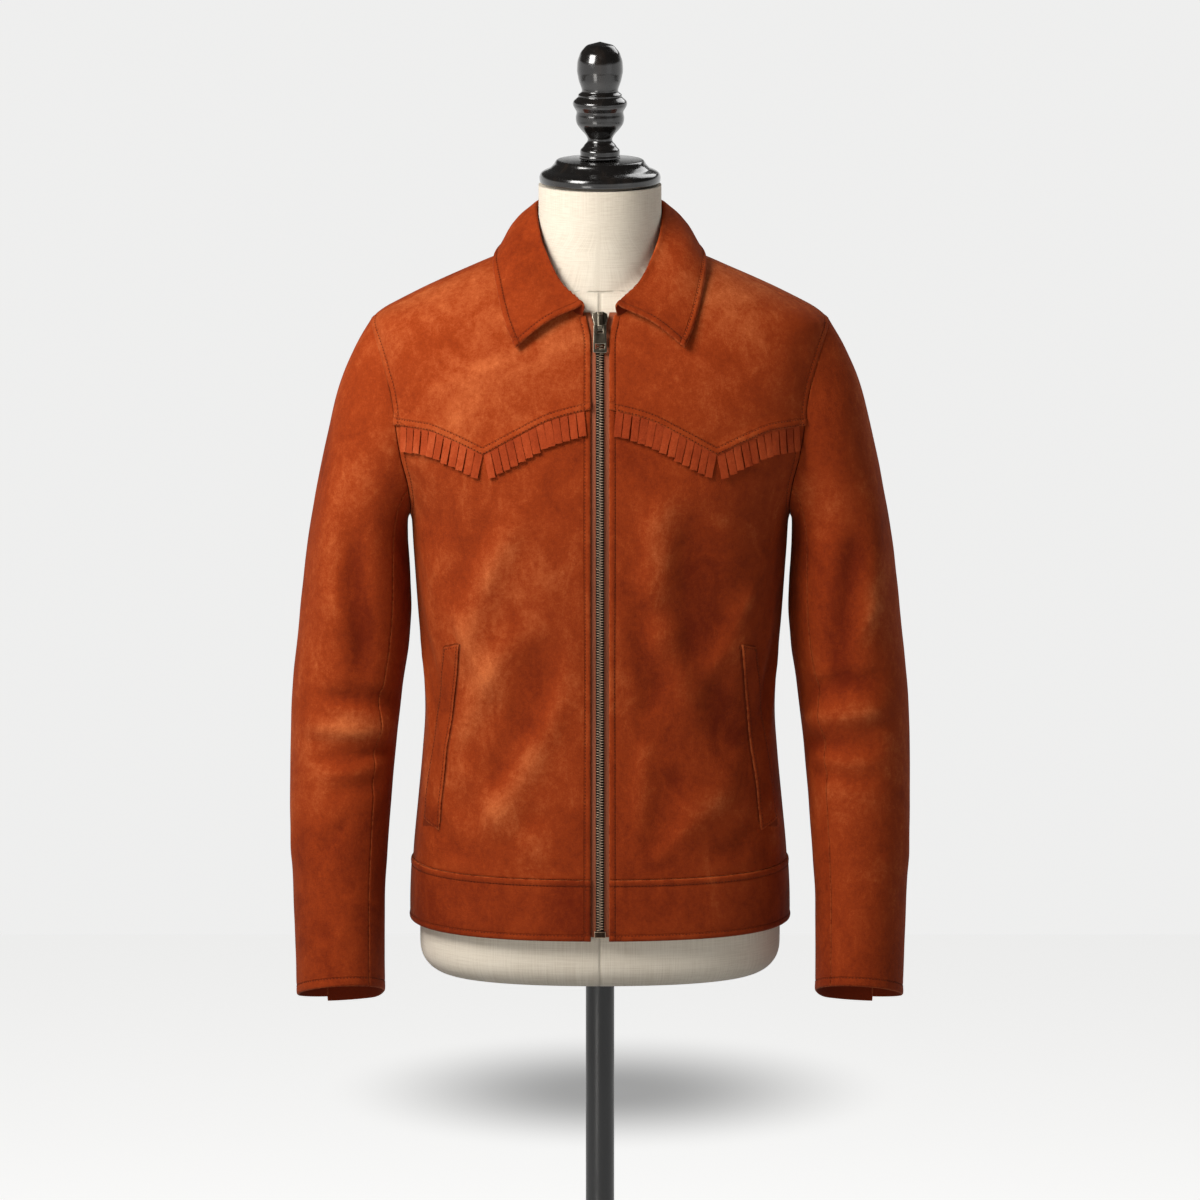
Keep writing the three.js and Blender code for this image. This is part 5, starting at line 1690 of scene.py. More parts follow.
@dataclass(frozen=True)
class Cut:
    """A cloth piece's flat cut: width, length and area in metres."""

    width: float
    length: float
    share: float = 1.0

    def declare(self, piece: bpy.types.Object, *carriers: str) -> None:
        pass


@dataclass
class JacketBody:
    """Fronts, yokes, back and waistband."""

    stitch: float = 6.5
    armhole_stitch: float = 7.5
    yoke_stitch: float = 7.5
    yoke_overhang: float = 1.6
    band_proud: float = 1.4
    front_cut: Cut = Cut(0.262, 0.46, 0.86)
    yoke_cut: Cut = Cut(0.215, 0.19, 0.7)
    back_cut: Cut = Cut(0.52, 0.66, 0.8)
    band_front_cut: Cut = Cut(0.25, 0.064)
    band_back_cut: Cut = Cut(0.49, 0.064)

    def seam_edge(self) -> EdgeFinish:
        """A plain sewn seam, slightly sunk."""
        return EdgeFinish(roll=0.8)

    def armhole_edge(self) -> EdgeFinish:
        """The armhole's edge, turned under and topstitched."""
        return EdgeFinish(stitch=self.armhole_stitch, roll=0.9, puff=0.5, lift=0.8, low=ARMPIT_Z, high=SHOULDER_Z)

    def yoke_line(self, shift: float) -> Callable[[Array], Array]:
        """The yoke's lower edge as turns and heights, moved up by shift."""
        outer_x = TORSO.point(*armhole(armhole_along(TORSO.yoke_z(YOKE_END_X)), 1))[0]

        def line(u: Array) -> Array:
            """Pairs of turn and height along the edge."""
            u = np.asarray(u, float)
            inner_x = FRONT_EDGE + (YOKE_POINT_X - FRONT_EDGE) * 2 * u
            far_x = YOKE_POINT_X + (outer_x - YOKE_POINT_X) * (2 * u - 1)
            x = np.where(u < 0.5, inner_x, far_x)
            z = TORSO.yoke_z(x) + shift
            turn = np.where(u >= 1, armhole(armhole_along(z), 1)[..., 0], TORSO.turn_at(x, z))
            return np.stack([turn, z], -1)

        return line

    def front(self, side: Side) -> Panel:
        """The front panel of one side."""
        half = SEAM_GAP / 2
        top_z, bottom_z = float(TORSO.yoke_z(FRONT_EDGE)) - half, WAIST_SEAM_Z + half
        top = self.yoke_line(-half)
        outer_top = float(armhole_along(top(np.ones(1))[0, 1]))
        armpit_at = 8 / 18

        def bottom(u: Array) -> Array:
            """Waist seam."""
            start = TORSO.turn_at(FRONT_EDGE, bottom_z)
            return np.stack([start + (90 - SEAM_SHIFT - start) * u, np.full(np.shape(u), bottom_z)], -1)

        def inner(v: Array) -> Array:
            """Front edge."""
            z = bottom_z + (top_z - bottom_z) * v
            return np.stack([TORSO.turn_at(FRONT_EDGE, z), z], -1)

        def outer(v: Array) -> Array:
            """Side seam, then armhole."""
            side_z = bottom_z + (ARMPIT_Z - bottom_z) * np.minimum(v / armpit_at, 1)
            seam = np.stack([np.full(np.shape(v), 90 - SEAM_SHIFT), side_z], -1)
            hole = armhole(outer_top * np.maximum(v - armpit_at, 0) / (1 - armpit_at), 1)
            hole[..., 0] -= SEAM_SHIFT
            return np.where((v <= armpit_at)[..., None], seam, hole)

        edges = {
            Edge.INNER: EdgeFinish(stitch=self.stitch, roll=0.9, puff=0.5),
            Edge.OUTER: self.armhole_edge(),
            Edge.BOTTOM: self.seam_edge(),
            Edge.TOP: self.seam_edge(),
        }
        tone = -0.02 if side is Side.LEFT else 0.03
        panel = body_panel(bottom, top, inner, outer, side.value, edges, tone=tone)
        # The fronts carry the welts' outline, along which the suede paints shade.
        panel.outline = PocketWelts().outline(panel.base)
        return panel

    def yoke(self, side: Side) -> Panel:
        """The yoke of one side, whose lower edge laps over the fringe."""
        half = SEAM_GAP / 2
        bottom = self.yoke_line(half - self.yoke_overhang)
        bottom_z = float(bottom(np.zeros(1))[0, 1])
        outer_start = float(armhole_along(bottom(np.ones(1))[0, 1]))
        neck_at = 0.45
        neck_turn = float(TORSO.turn_at(TORSO.front_edge_x(NECK_FRONT_Z), NECK_FRONT_Z))

        def top(u: Array) -> Array:
            """Shoulder seam."""
            return shoulder_seam(1 - np.asarray(u), -SEAM_SHIFT)

        def inner(v: Array) -> Array:
            """Front edge, then neckline."""
            z = bottom_z + (NECK_FRONT_Z - bottom_z) * np.minimum(v / neck_at, 1)
            edge = np.stack([TORSO.turn_at(TORSO.front_edge_x(z), z), z], -1)
            share = np.maximum(v - neck_at, 0) / (1 - neck_at)
            turn = neck_turn + (SHOULDER_SEAM_TURN - SEAM_SHIFT - neck_turn) * share
            neck = np.stack([turn, TORSO.neckline(turn)], -1)
            return np.where((v <= neck_at)[..., None], edge, neck)

        def outer(v: Array) -> Array:
            """Armhole."""
            hole = armhole(outer_start + (1 - outer_start) * v, 1)
            hole[..., 0] -= SEAM_SHIFT
            return hole

        edges = {
            Edge.INNER: EdgeFinish(stitch=self.stitch, roll=0.9, puff=0.4, high=NECK_FRONT_Z - 4),
            Edge.OUTER: self.armhole_edge(),
            Edge.BOTTOM: EdgeFinish(stitch=self.yoke_stitch, roll=0.8, puff=0.5, lift=2.6, lift_width=16),
            Edge.TOP: EdgeFinish(roll=0.6),
        }
        tone = 0.07 if side is Side.LEFT else 0.1
        return body_panel(bottom, top, inner, outer, side.value, edges, step=4.0, tone=tone)

    def back(self) -> Panel:
        """The back, in one piece."""
        bottom_z = WAIST_SEAM_Z + SEAM_GAP / 2
        armpit_at, shoulder_at = 7 / 27, 21 / 27

        def bottom(u: Array) -> Array:
            """Waist seam."""
            turn = 90 + SEAM_SHIFT + (180 - 2 * SEAM_SHIFT) * np.asarray(u)
            return np.stack([turn, np.full(turn.shape, bottom_z)], -1)

        def top(u: Array) -> Array:
            """Neckline."""
            start = SHOULDER_SEAM_TURN + SEAM_SHIFT
            turn = start + (360 - 2 * start) * np.asarray(u)
            return np.stack([turn, TORSO.neckline(180 - np.abs(turn - 180))], -1)

        def inner(v: Array) -> Array:
            """Side seam, armhole, shoulder seam."""
            side_z = bottom_z + (ARMPIT_Z - bottom_z) * np.minimum(v / armpit_at, 1)
            seam = np.stack([np.full(np.shape(v), 90 + SEAM_SHIFT), side_z], -1)
            hole = armhole(np.clip((v - armpit_at) / (shoulder_at - armpit_at), 0, 1), -1)
            hole[..., 0] += SEAM_SHIFT
            shoulder = shoulder_seam(np.maximum(v - shoulder_at, 0) / (1 - shoulder_at), SEAM_SHIFT)
            lower = np.where((v <= armpit_at)[..., None], seam, hole)
            return np.where((v <= shoulder_at)[..., None], lower, shoulder)

        def outer(v: Array) -> Array:
            """The same on the wearer's right."""
            line = inner(v)
            return np.stack([360 - line[..., 0], line[..., 1]], -1)

        edges = {
            Edge.INNER: self.armhole_edge(),
            Edge.OUTER: self.armhole_edge(),
            Edge.BOTTOM: self.seam_edge(),
            Edge.TOP: self.seam_edge(),
        }
        return body_panel(bottom, top, inner, outer, 1, edges, step=6.0, tone=0.02)

    def band(self, from_turn: float, to_turn: float, tone: float, open_edge: Edge | None) -> Panel:
        """A piece of the waistband.

        Args:
            from_turn: Where it starts.
            to_turn: Where it ends.
            tone: How much lighter its hide is.
            open_edge: The edge beside the zip, if it has one.

        Returns:
            The panel.
        """
        top_z = WAIST_SEAM_Z - SEAM_GAP / 2
        arc = float(np.linalg.norm(np.diff(TORSO.point(np.linspace(from_turn, to_turn, 60), HEM_Z), axis=0), axis=-1).sum())
        across = spread(np.array([arc]), FINE, 5.0)[0]
        up = spread(np.array([top_z - HEM_Z]), FINE, 5.0)[0]
        v, u = np.meshgrid(up, across, indexing="ij")
        turn, z = from_turn + (to_turn - from_turn) * u, HEM_Z + (top_z - HEM_Z) * v
        points = TORSO.point(turn, z)
        wave = 0.5 * ripple(points * 0.5, 2.0)
        edges = {
            Edge.TOP: EdgeFinish(stitch=self.stitch, roll=1.0, puff=0.6),
            Edge.BOTTOM: EdgeFinish(stitch=self.stitch, roll=1.0, puff=0.6),
        }
        if open_edge:
            edges[open_edge] = EdgeFinish(stitch=self.stitch, roll=1.0, puff=0.5)
        return Panel(
            points, TORSO.normal(turn, z), wave, edges, out=self.band_proud, thick=SUEDE + self.band_proud, tone=tone
        )

    def build(self, material: bpy.types.Material, lines: Lines) -> dict[str, bpy.types.Object]:
        """Makes the body's cloth.

        Args:
            material: The suede.
            lines: Where its stitching is collected.

        Returns:
            The pieces by the names of the solids they replace.
        """
        made: dict[str, tuple[Panel, Cut, str]] = {"back": (self.back(), self.back_cut, "form_torso")}
        for side in Side:
            edge = side.value * float(TORSO.turn_at(FRONT_EDGE, HEM_Z))
            made["front_" + side.word] = (self.front(side), self.front_cut, "yoke_" + side.word)
            made["yoke_" + side.word] = (self.yoke(side), self.yoke_cut, "form_torso")
            band = self.band(edge, side.value * (90 - SEAM_SHIFT), 0.03 * side.value - 0.05, Edge.INNER)
            made["waistband_front_" + side.word] = (band, self.band_front_cut, "front_" + side.word)
        whole = self.band(90 + SEAM_SHIFT, 270 - SEAM_SHIFT, -0.04, None)
        made["waistband_back"] = (whole, self.band_back_cut, "back")
        pieces = {}
        for node, (panel, cut, carrier) in made.items():
            piece = add_piece("cloth_" + node, panel.mesh("cloth_" + node), material)
            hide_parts(node)
            cut.declare(piece, carrier)
            pieces[node] = piece
            LOG.info("%s is %.0f by %.0f mm", node, *panel.size)
            if node.startswith("front"):
                lines.add(panel.line(Edge.INNER, self.stitch, 2))
                lines.add(panel.line(Edge.OUTER, self.armhole_stitch, 2, ARMPIT_Z + 6))
            elif node.startswith("yoke"):
                lines.add(panel.line(Edge.INNER, self.stitch, 3, high=NECK_FRONT_Z - 8))
                lines.add(panel.line(Edge.BOTTOM, self.yoke_stitch, 6))
                lines.add(panel.line(Edge.BOTTOM, 1.8, 6))
                lines.add(panel.line(Edge.OUTER, self.armhole_stitch, 3))
            elif node == "back":
                lines.add(panel.line(Edge.INNER, self.armhole_stitch, 3, ARMPIT_Z + 6, SHOULDER_Z - 2))
                lines.add(panel.line(Edge.OUTER, self.armhole_stitch, 3, ARMPIT_Z + 6, SHOULDER_Z - 2))
            else:
                lines.add(panel.line(Edge.TOP, self.stitch, 6), panel.line(Edge.BOTTOM, self.stitch, 6))
                if node != "waistband_back":
                    lines.add(panel.line(Edge.INNER, self.stitch, 6))
        return pieces


@dataclass
class PocketWelts:
    """Slanted welts of the two side pockets."""

    top_x: float = 145.5
    top_z: float = 1119.0
    top_width: float = 17.0
    bottom_x: float = 168.5
    bottom_z: float = 933.0
    bottom_width: float = 15.0
    slant: float = 7.0
    out: float = 2.3
    thick: float = 2.0
    stitch: float = 2.8
    cut: Cut = Cut(0.019, 0.192, 0.98)

    def outline(self, points: Array) -> Array:
        """How far points of a front lie outside the welt's outline, seen from the front; less than 0 inside."""
        x, z = np.abs(points[..., 0]), points[..., 2]
        v = (z - self.bottom_z) / (self.top_z - self.bottom_z)
        middle = self.bottom_x + (self.top_x - self.bottom_x) * v
        half = (self.bottom_width + (self.top_width - self.bottom_width) * v) / 2
        lean = (middle - x) / (2 * half) * self.slant
        above = z - self.top_z - lean
        below = self.bottom_z + lean - z
        return np.maximum.reduce([x - middle - half, middle - half - x, above, below])

    def build(self, material: bpy.types.Material, lines: Lines) -> None:
        """Makes both welts.

        Args:
            material: The suede.
            lines: Where the stitching is collected.
        """
        for side in Side:
            v, u = np.meshgrid(np.linspace(0, 1, 48), np.linspace(0, 1, 14), indexing="ij")
            width = self.bottom_width + (self.top_width - self.bottom_width) * v
            x = self.bottom_x + (self.top_x - self.bottom_x) * v + (u - 0.5) * width
            z = self.bottom_z + (self.top_z - self.bottom_z) * v + (0.5 - u) * self.slant * (2 * v - 1)
            turn = side.value * TORSO.turn_at(x, z)
            edges = {edge: EdgeFinish(roll=0.7) for edge in Edge}
            edges[Edge.INNER] = EdgeFinish(stitch=self.stitch, roll=0.7, puff=0.5)
            edges[Edge.OUTER] = EdgeFinish(stitch=self.stitch, roll=0.7, puff=0.4)
            # The welts' tone is a little darker, as painted shade.
            panel = Panel(
                TORSO.point(turn, z), TORSO.normal(turn, z), jacket_fold(turn, z), edges,
                out=self.out, thick=self.thick, tone=-0.03,
            )
            name = "pocket_welt_" + side.word
            piece = add_piece("cloth_" + name, panel.mesh("cloth_" + name), material)
            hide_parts(name)
            self.cut.declare(piece, "front_" + side.word)
            lines.add(panel.line(Edge.INNER, self.stitch, 2), panel.line(Edge.OUTER, self.stitch, 2))
            lines.add(panel.line(Edge.TOP, 2.6, 2), panel.line(Edge.BOTTOM, 2.6, 2))


@dataclass
class Fringe:
    """Strands cut from one strip of suede, sewn under the yoke's lower edge."""

    first_x: float = 16.0
    last_x: float = 196.8
    strands: tuple[int, int] = (14, 12)
    lean: float = 0.42
    strand_width: float = 7.85
    taper: float = 0.05
    strip: float = 4.0
    length: float = 26.5
    thick: float = 1.2
    out: float = 0.5
    seed: int = 11
    cut: Cut = Cut(0.215, 0.031, 0.96)

    def strand(self) -> bpy.types.Object:
        """One strand: a thin strip, hanging along -Y from the origin, its face towards +Z."""
        rows, columns = 9, 4
        grid = []
        for top in (1.0, 0.0):
            for r in range(rows):
                down = r / (rows - 1)
                for c in range(columns):
                    across = c / (columns - 1) - 0.5
                    curl = 0.8 * down**2 + 0.35 * math.cos(across * math.pi) * down
                    x = across * self.strand_width * (1 - self.taper * down)
                    grid.append((x, 1.5 - down * (self.length + 1.5), (top - 1) * self.thick + curl))
        points = np.array(grid)
        count = rows * columns
        at = np.arange(count).reshape(rows, columns)
        front = np.stack([at[:-1, :-1], at[:-1, 1:], at[1:, 1:], at[1:, :-1]], -1).reshape(-1, 4)
        ring = np.concatenate([at[0, :-1], at[:-1, -1], at[-1, :0:-1], at[:0:-1, 0]])
        following = np.roll(ring, -1)
        rim = np.stack([ring, ring + count, following + count, following], -1)
        mesh = closed_mesh("strand", points, np.concatenate([front, front[:, ::-1] + count, rim]))
        made = bpy.data.objects.new("strand", mesh)
        bpy.context.scene.collection.objects.link(made)
        return made

    def backing(self, runs: Sequence[Line]) -> bpy.types.Object:
        """The uncut strip that joins the roots.

        Args:
            runs: The lines that the strands hang from.

        Returns:
            The strip as an object of its own.
        """
        mesh = bmesh.new()
        for line, out in runs:
            walls = []
            for lift in (0.05, -self.thick):
                walls.append([(line + out * lift + np.array([0, 0, z]), lift) for z in (1.5, -self.strip)])
            top, foot, foot_in, top_in = walls[0][0][0], walls[0][1][0], walls[1][1][0], walls[1][0][0]
            loops = [[mesh.verts.new((row * MM).tolist()) for row in side] for side in (top, foot, foot_in, top_in)]
            for a, b in zip(loops, loops[1:] + loops[:1]):
                for i in range(len(a) - 1):
                    mesh.faces.new((a[i], b[i], b[i + 1], a[i + 1]))
            for end in (0, -1):
                mesh.faces.new([loop[end] for loop in loops])
        bmesh.ops.recalc_face_normals(mesh, faces=mesh.faces)
        strip = bpy.data.meshes.new("fringe_backing")
        mesh.to_mesh(strip)
        mesh.free()
        made = bpy.data.objects.new("fringe_backing", strip)
        bpy.context.scene.collection.objects.link(made)
        return made

    def runs(self, side: Side) -> tuple[list[Line], list[Array]]:
        """The two lines under the yoke's edge that the strands hang from.

        Args:
            side: Their side.

        Returns:
            The lines with their normals, and the directions across the strands.
        """
        found, across = [], []
        ends = ((self.first_x, YOKE_POINT_X, TORSO.yoke_inner), (YOKE_POINT_X, self.last_x, TORSO.yoke_outer))
        for (start, stop, edge), count in zip(ends, self.strands):
            half = (stop - start) / count / 2
            x = np.linspace(start + half, stop - half, 120)
            z = edge(x) + 0.4
            turn = side.value * TORSO.turn_at(x, z)
            normals = TORSO.normal(turn, z)
            points = TORSO.point(turn, z) + normals * (jacket_fold(turn, z) + self.out + self.thick)[:, None]
            if side is Side.RIGHT:
                points, normals = points[::-1], normals[::-1]
            tangent = unit(np.gradient(points, axis=0))
            tangent[:, 2] *= self.lean
            found.append((points, normals))
            across.append(unit(tangent))
        return found, across

    def build(self, material: bpy.types.Material) -> None:
        """Hangs the strands of both sides."""
        strand = self.strand()
        per_strand = len(strand.data.vertices)
        for side in Side:
            name = "cloth_fringe_" + side.word
            runs, across = self.runs(side)
            lengths = [float(np.linalg.norm(np.diff(line, axis=0), axis=-1).sum()) for line, _ in runs]
            pitch = max(size / (count - 1) for size, count in zip(lengths, self.strands))
            tree = Repeat(
                name,
                {
                    "Pitch": ("NodeSocketFloat", pitch * 1.0001 * MM),
                    "Strand": ("NodeSocketObject", strand),
                    "Backing": ("NodeSocketObject", backing := self.backing(runs)),
                },
            )
            points = tree.points_along(tree.given("Pitch"))
            form = tree.node("GeometryNodeObjectInfo", {}, {"Object": tree.given("Strand")}).outputs["Geometry"]
            spin = tree.random(-0.02, 0.02, self.seed + side.value)
            size = tree.node(
                "ShaderNodeCombineXYZ",
                {},
                {
                    0: tree.random(0.93, 1.03, self.seed + 5),
                    1: tree.random(0.97, 1.03, self.seed),
                    2: tree.random(0.75, 1.2, self.seed + 3),
                },
            )
            copies = tree.node(
                "GeometryNodeInstanceOnPoints",
                {},
                {"Points": points, "Instance": form, "Rotation": tree.facing(spin, "across"), "Scale": size},
            )
            strip = tree.node("GeometryNodeObjectInfo", {}, {"Object": tree.given("Backing")}).outputs["Geometry"]
            both = tree.node("GeometryNodeJoinGeometry")
            for part in (strip, copies.outputs[0]):
                tree.tree.links.new(part, both.inputs[0])
            tree.close(both, material)
            paths = path_object(name + "_path", runs, 0.0, np.concatenate(across))
            piece = tree.apply(paths, name, material)
            bpy.data.objects.remove(backing)
            count = len(piece.data.vertices)
            rng = np.random.default_rng(self.seed + side.value)
            hung = sum(self.strands)
            tones = np.zeros(count)
            tones[-hung * per_strand :] = np.repeat(rng.uniform(-0.1, 0.06, hung), per_strand)
            values = {"tone": tones, "stitch": FAR, "rim": 2.0, "crease": 0.0, "outline": FAR}
            for key, value in values.items():
                layer = piece.data.attributes.new(key, "FLOAT", "POINT")
                layer.data.foreach_set("value", np.broadcast_to(value, count).astype(np.float32))
            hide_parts("fringe_" + side.word)
            self.cut.declare(piece, "yoke_" + side.word)
            LOG.info("%s has %d strands", name, hung)
        bpy.data.objects.remove(strand)


@dataclass
class Sleeves:
    """Two-piece sleeves, from the armhole to an open cuff."""

    tuck: float = 1.1
    proud: float = 0.4
    hem_stitch: float = 9.0
    hem_rise: float = 2.5
    hem_drop: float = 4.5
    hem_reach: float = 70.0
    rings: int = 150
    top_cut: Cut = Cut(0.26, 0.68, 0.9)
    under_cut: Cut = Cut(0.19, 0.62, 0.85)
    curves: tuple[Curve, ...] = field(init=False)

    def __post_init__(self) -> None:
        """Makes the rings' curves."""
        last = len(SLEEVE_ROWS) - 1
        rows = [(i / last, *row) for i, row in enumerate(SLEEVE_ROWS)]
        self.curves = tuple(Curve(rows, k) for k in range(1, 8))

    def ellipse(self, turn: Array, t: Array) -> Array:
        """Points of the sleeve's rings, t from 0 at the armhole to 1 at the cuff."""
        out_x, out_z, in_x, in_z, mid_y, depth, lean = (curve(t) for curve in self.curves)
        a, lean = np.radians(turn), np.radians(lean)
        outer = np.stack([out_x, mid_y, out_z], -1)
        inner = np.stack([in_x, mid_y, in_z], -1)
        forward = np.stack([np.zeros_like(lean), -np.cos(lean), np.sin(lean)], -1) * depth[..., None]
        across = (outer - inner) / 2
        return (outer + inner) / 2 + across * np.cos(a)[..., None] + forward * np.sin(a)[..., None]

    def armhole_ring(self, turn: Array) -> Array:
        """The sleeve's first ring, tucked into the body's armhole seam."""
        a = np.radians(turn)
        body_turn, z = 90 - ARMHOLE_TURN * np.sin(a), ARMHOLE_MIDDLE_Z + ARMHOLE_HALF_Z * np.cos(a)
        away = TORSO.point(body_turn, z) - TORSO.point(90.0, ARMHOLE_MIDDLE_Z)
        away[..., 0] = 0
        tucked = unit(away) * self.tuck
        return TORSO.point(body_turn, z) + TORSO.normal(body_turn, z) * self.proud + tucked

    def surface(self, turn: Array, t: Array) -> Array:
        """The sleeve's smooth surface, eased to the armhole's form at its top."""
        ease = 1 - smooth(t, 0, ARMHOLE_BLEND)
        shift = self.armhole_ring(turn) - self.ellipse(turn, np.zeros_like(t))
        return self.ellipse(turn, t) + shift * ease[..., None]

    def panel(self, side: Side, from_turn: float, to_turn: float, tone: float) -> Panel:
        """One piece of a sleeve.

        Args:
            side: Its side.
            from_turn: Turn round the sleeve where it starts.
            to_turn: Where it ends.
            tone: How much lighter its hide is.

        Returns:
            The panel; its bottom edge is the cuff.
        """
        first, last = from_turn + SLEEVE_SEAM_SHIFT, to_turn - SLEEVE_SEAM_SHIFT
        arc = np.linalg.norm(
            np.diff(self.surface(np.linspace(first, last, 60), np.full(60, 0.5)), axis=0), axis=-1
        ).sum()
        across = spread(np.array([arc]), (0, 0.7, 1.6, 3.2, 6), 5.0)[0]
        up = spread(np.array([700.0]), FINE, 700.0 / self.rings)[0]
        v, u = np.meshgrid(up, across, indexing="ij")
        turn, t = first + (last - first) * u, 1 - v
        points = self.surface(turn, t)
        around = self.surface(turn + 1, t) - self.surface(turn - 1, t)
        down = self.surface(turn, np.minimum(t + 0.01, 1)) - self.surface(turn, np.maximum(t - 0.01, 0))
        normals = unit(np.cross(around, down))
        facing_body = smooth(-np.cos(np.radians(turn)), 0.6, 0.9)
        clear = 1 + (smooth(t, 0.55, 0.7) - 1) * facing_body
        calm = smooth(t, 0.12, 0.3) * (1 - smooth(t, 0.9, 0.98)) * clear
        z = points[..., 2].copy()
        near_hem = 1 - smooth(v * 700.0, 0, self.hem_reach)
        tilt = self.hem_rise * np.maximum(np.sin(np.radians(turn)), 0)
        if from_turn == FRONT_SEAM_TURN:
            tilt = tilt - self.hem_drop * smooth(turn, 170, 225)
        points[..., 2] += near_hem * tilt
        large = SLEEVE_FOLD_SHARE * fold_height(SLEEVE_FOLDS[side], turn, z, 1.0)
        folds = calm * (large + CREASE_DEPTH * fold_height(SLEEVE_CREASES[side], turn, z, 1.0))
        points[..., 0] *= side.value
        normals[..., 0] *= side.value
        edges = {
            Edge.BOTTOM: EdgeFinish(stitch=self.hem_stitch, roll=0.9, puff=0.4),
            Edge.TOP: EdgeFinish(roll=0.9),
            Edge.INNER: EdgeFinish(roll=0.8),
            Edge.OUTER: EdgeFinish(roll=0.8),
        }
        return Panel(points, normals, folds, edges, tone=tone, calm=0.3)

    def build(self, material: bpy.types.Material, lines: Lines) -> None:
        """Makes both sleeves.

        Args:
            material: The suede.
            lines: Where the hems' stitching is collected.
        """
        for side in Side:
            parts = {
                "topsleeve_": (BACK_SEAM_TURN - 360, FRONT_SEAM_TURN, 0.02, self.top_cut),
                "undersleeve_": (FRONT_SEAM_TURN, BACK_SEAM_TURN, -0.03, self.under_cut),
            }
            for word, (start, end, tone, cut) in parts.items():
                node = word + side.word
                panel = self.panel(side, start, end, tone)
                piece = add_piece("cloth_" + node, panel.mesh("cloth_" + node), material)
                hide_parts(node)
                cut.declare(piece, "yoke_" + side.word)
                lines.add(panel.line(Edge.BOTTOM, self.hem_stitch, 1))
                LOG.info("%s is %.0f by %.0f mm", node, *panel.size)


def catmull(points: Sequence[Array], count: int) -> Array:
    """A smooth centripetal curve through points, at even distances.

    Args:
        points: What it passes through.
        count: Number of places on it.

    Returns:
        The places.
    """
    knots = [2 * points[0] - points[1], *points, 2 * points[-1] - points[-2]]
    found = []
    for p0, p1, p2, p3 in zip(knots, knots[1:], knots[2:], knots[3:]):
        d0, d1, d2 = (max(np.linalg.norm(b - a) ** 0.5, 1e-4) for a, b in ((p0, p1), (p1, p2), (p2, p3)))
        t1 = ((p1 - p0) / d0 - (p2 - p0) / (d0 + d1) + (p2 - p1) / d1) * d1
        t2 = ((p2 - p1) / d1 - (p3 - p1) / (d1 + d2) + (p3 - p2) / d2) * d1
        t = np.linspace(0, 1, 24, endpoint=False)[:, None]
        found.append(
            p1 + t1 * t + (-3 * p1 + 3 * p2 - 2 * t1 - t2) * t**2 + (2 * p1 - 2 * p2 + t1 + t2) * t**3
        )
    path = np.concatenate([*found, [points[-1]]])
    run = np.concatenate([[0], np.cumsum(np.linalg.norm(np.diff(path, axis=0), axis=-1))])
    where = np.linspace(0, run[-1], count)
    return np.stack([np.interp(where, run, path[:, k]) for k in range(3)], -1)


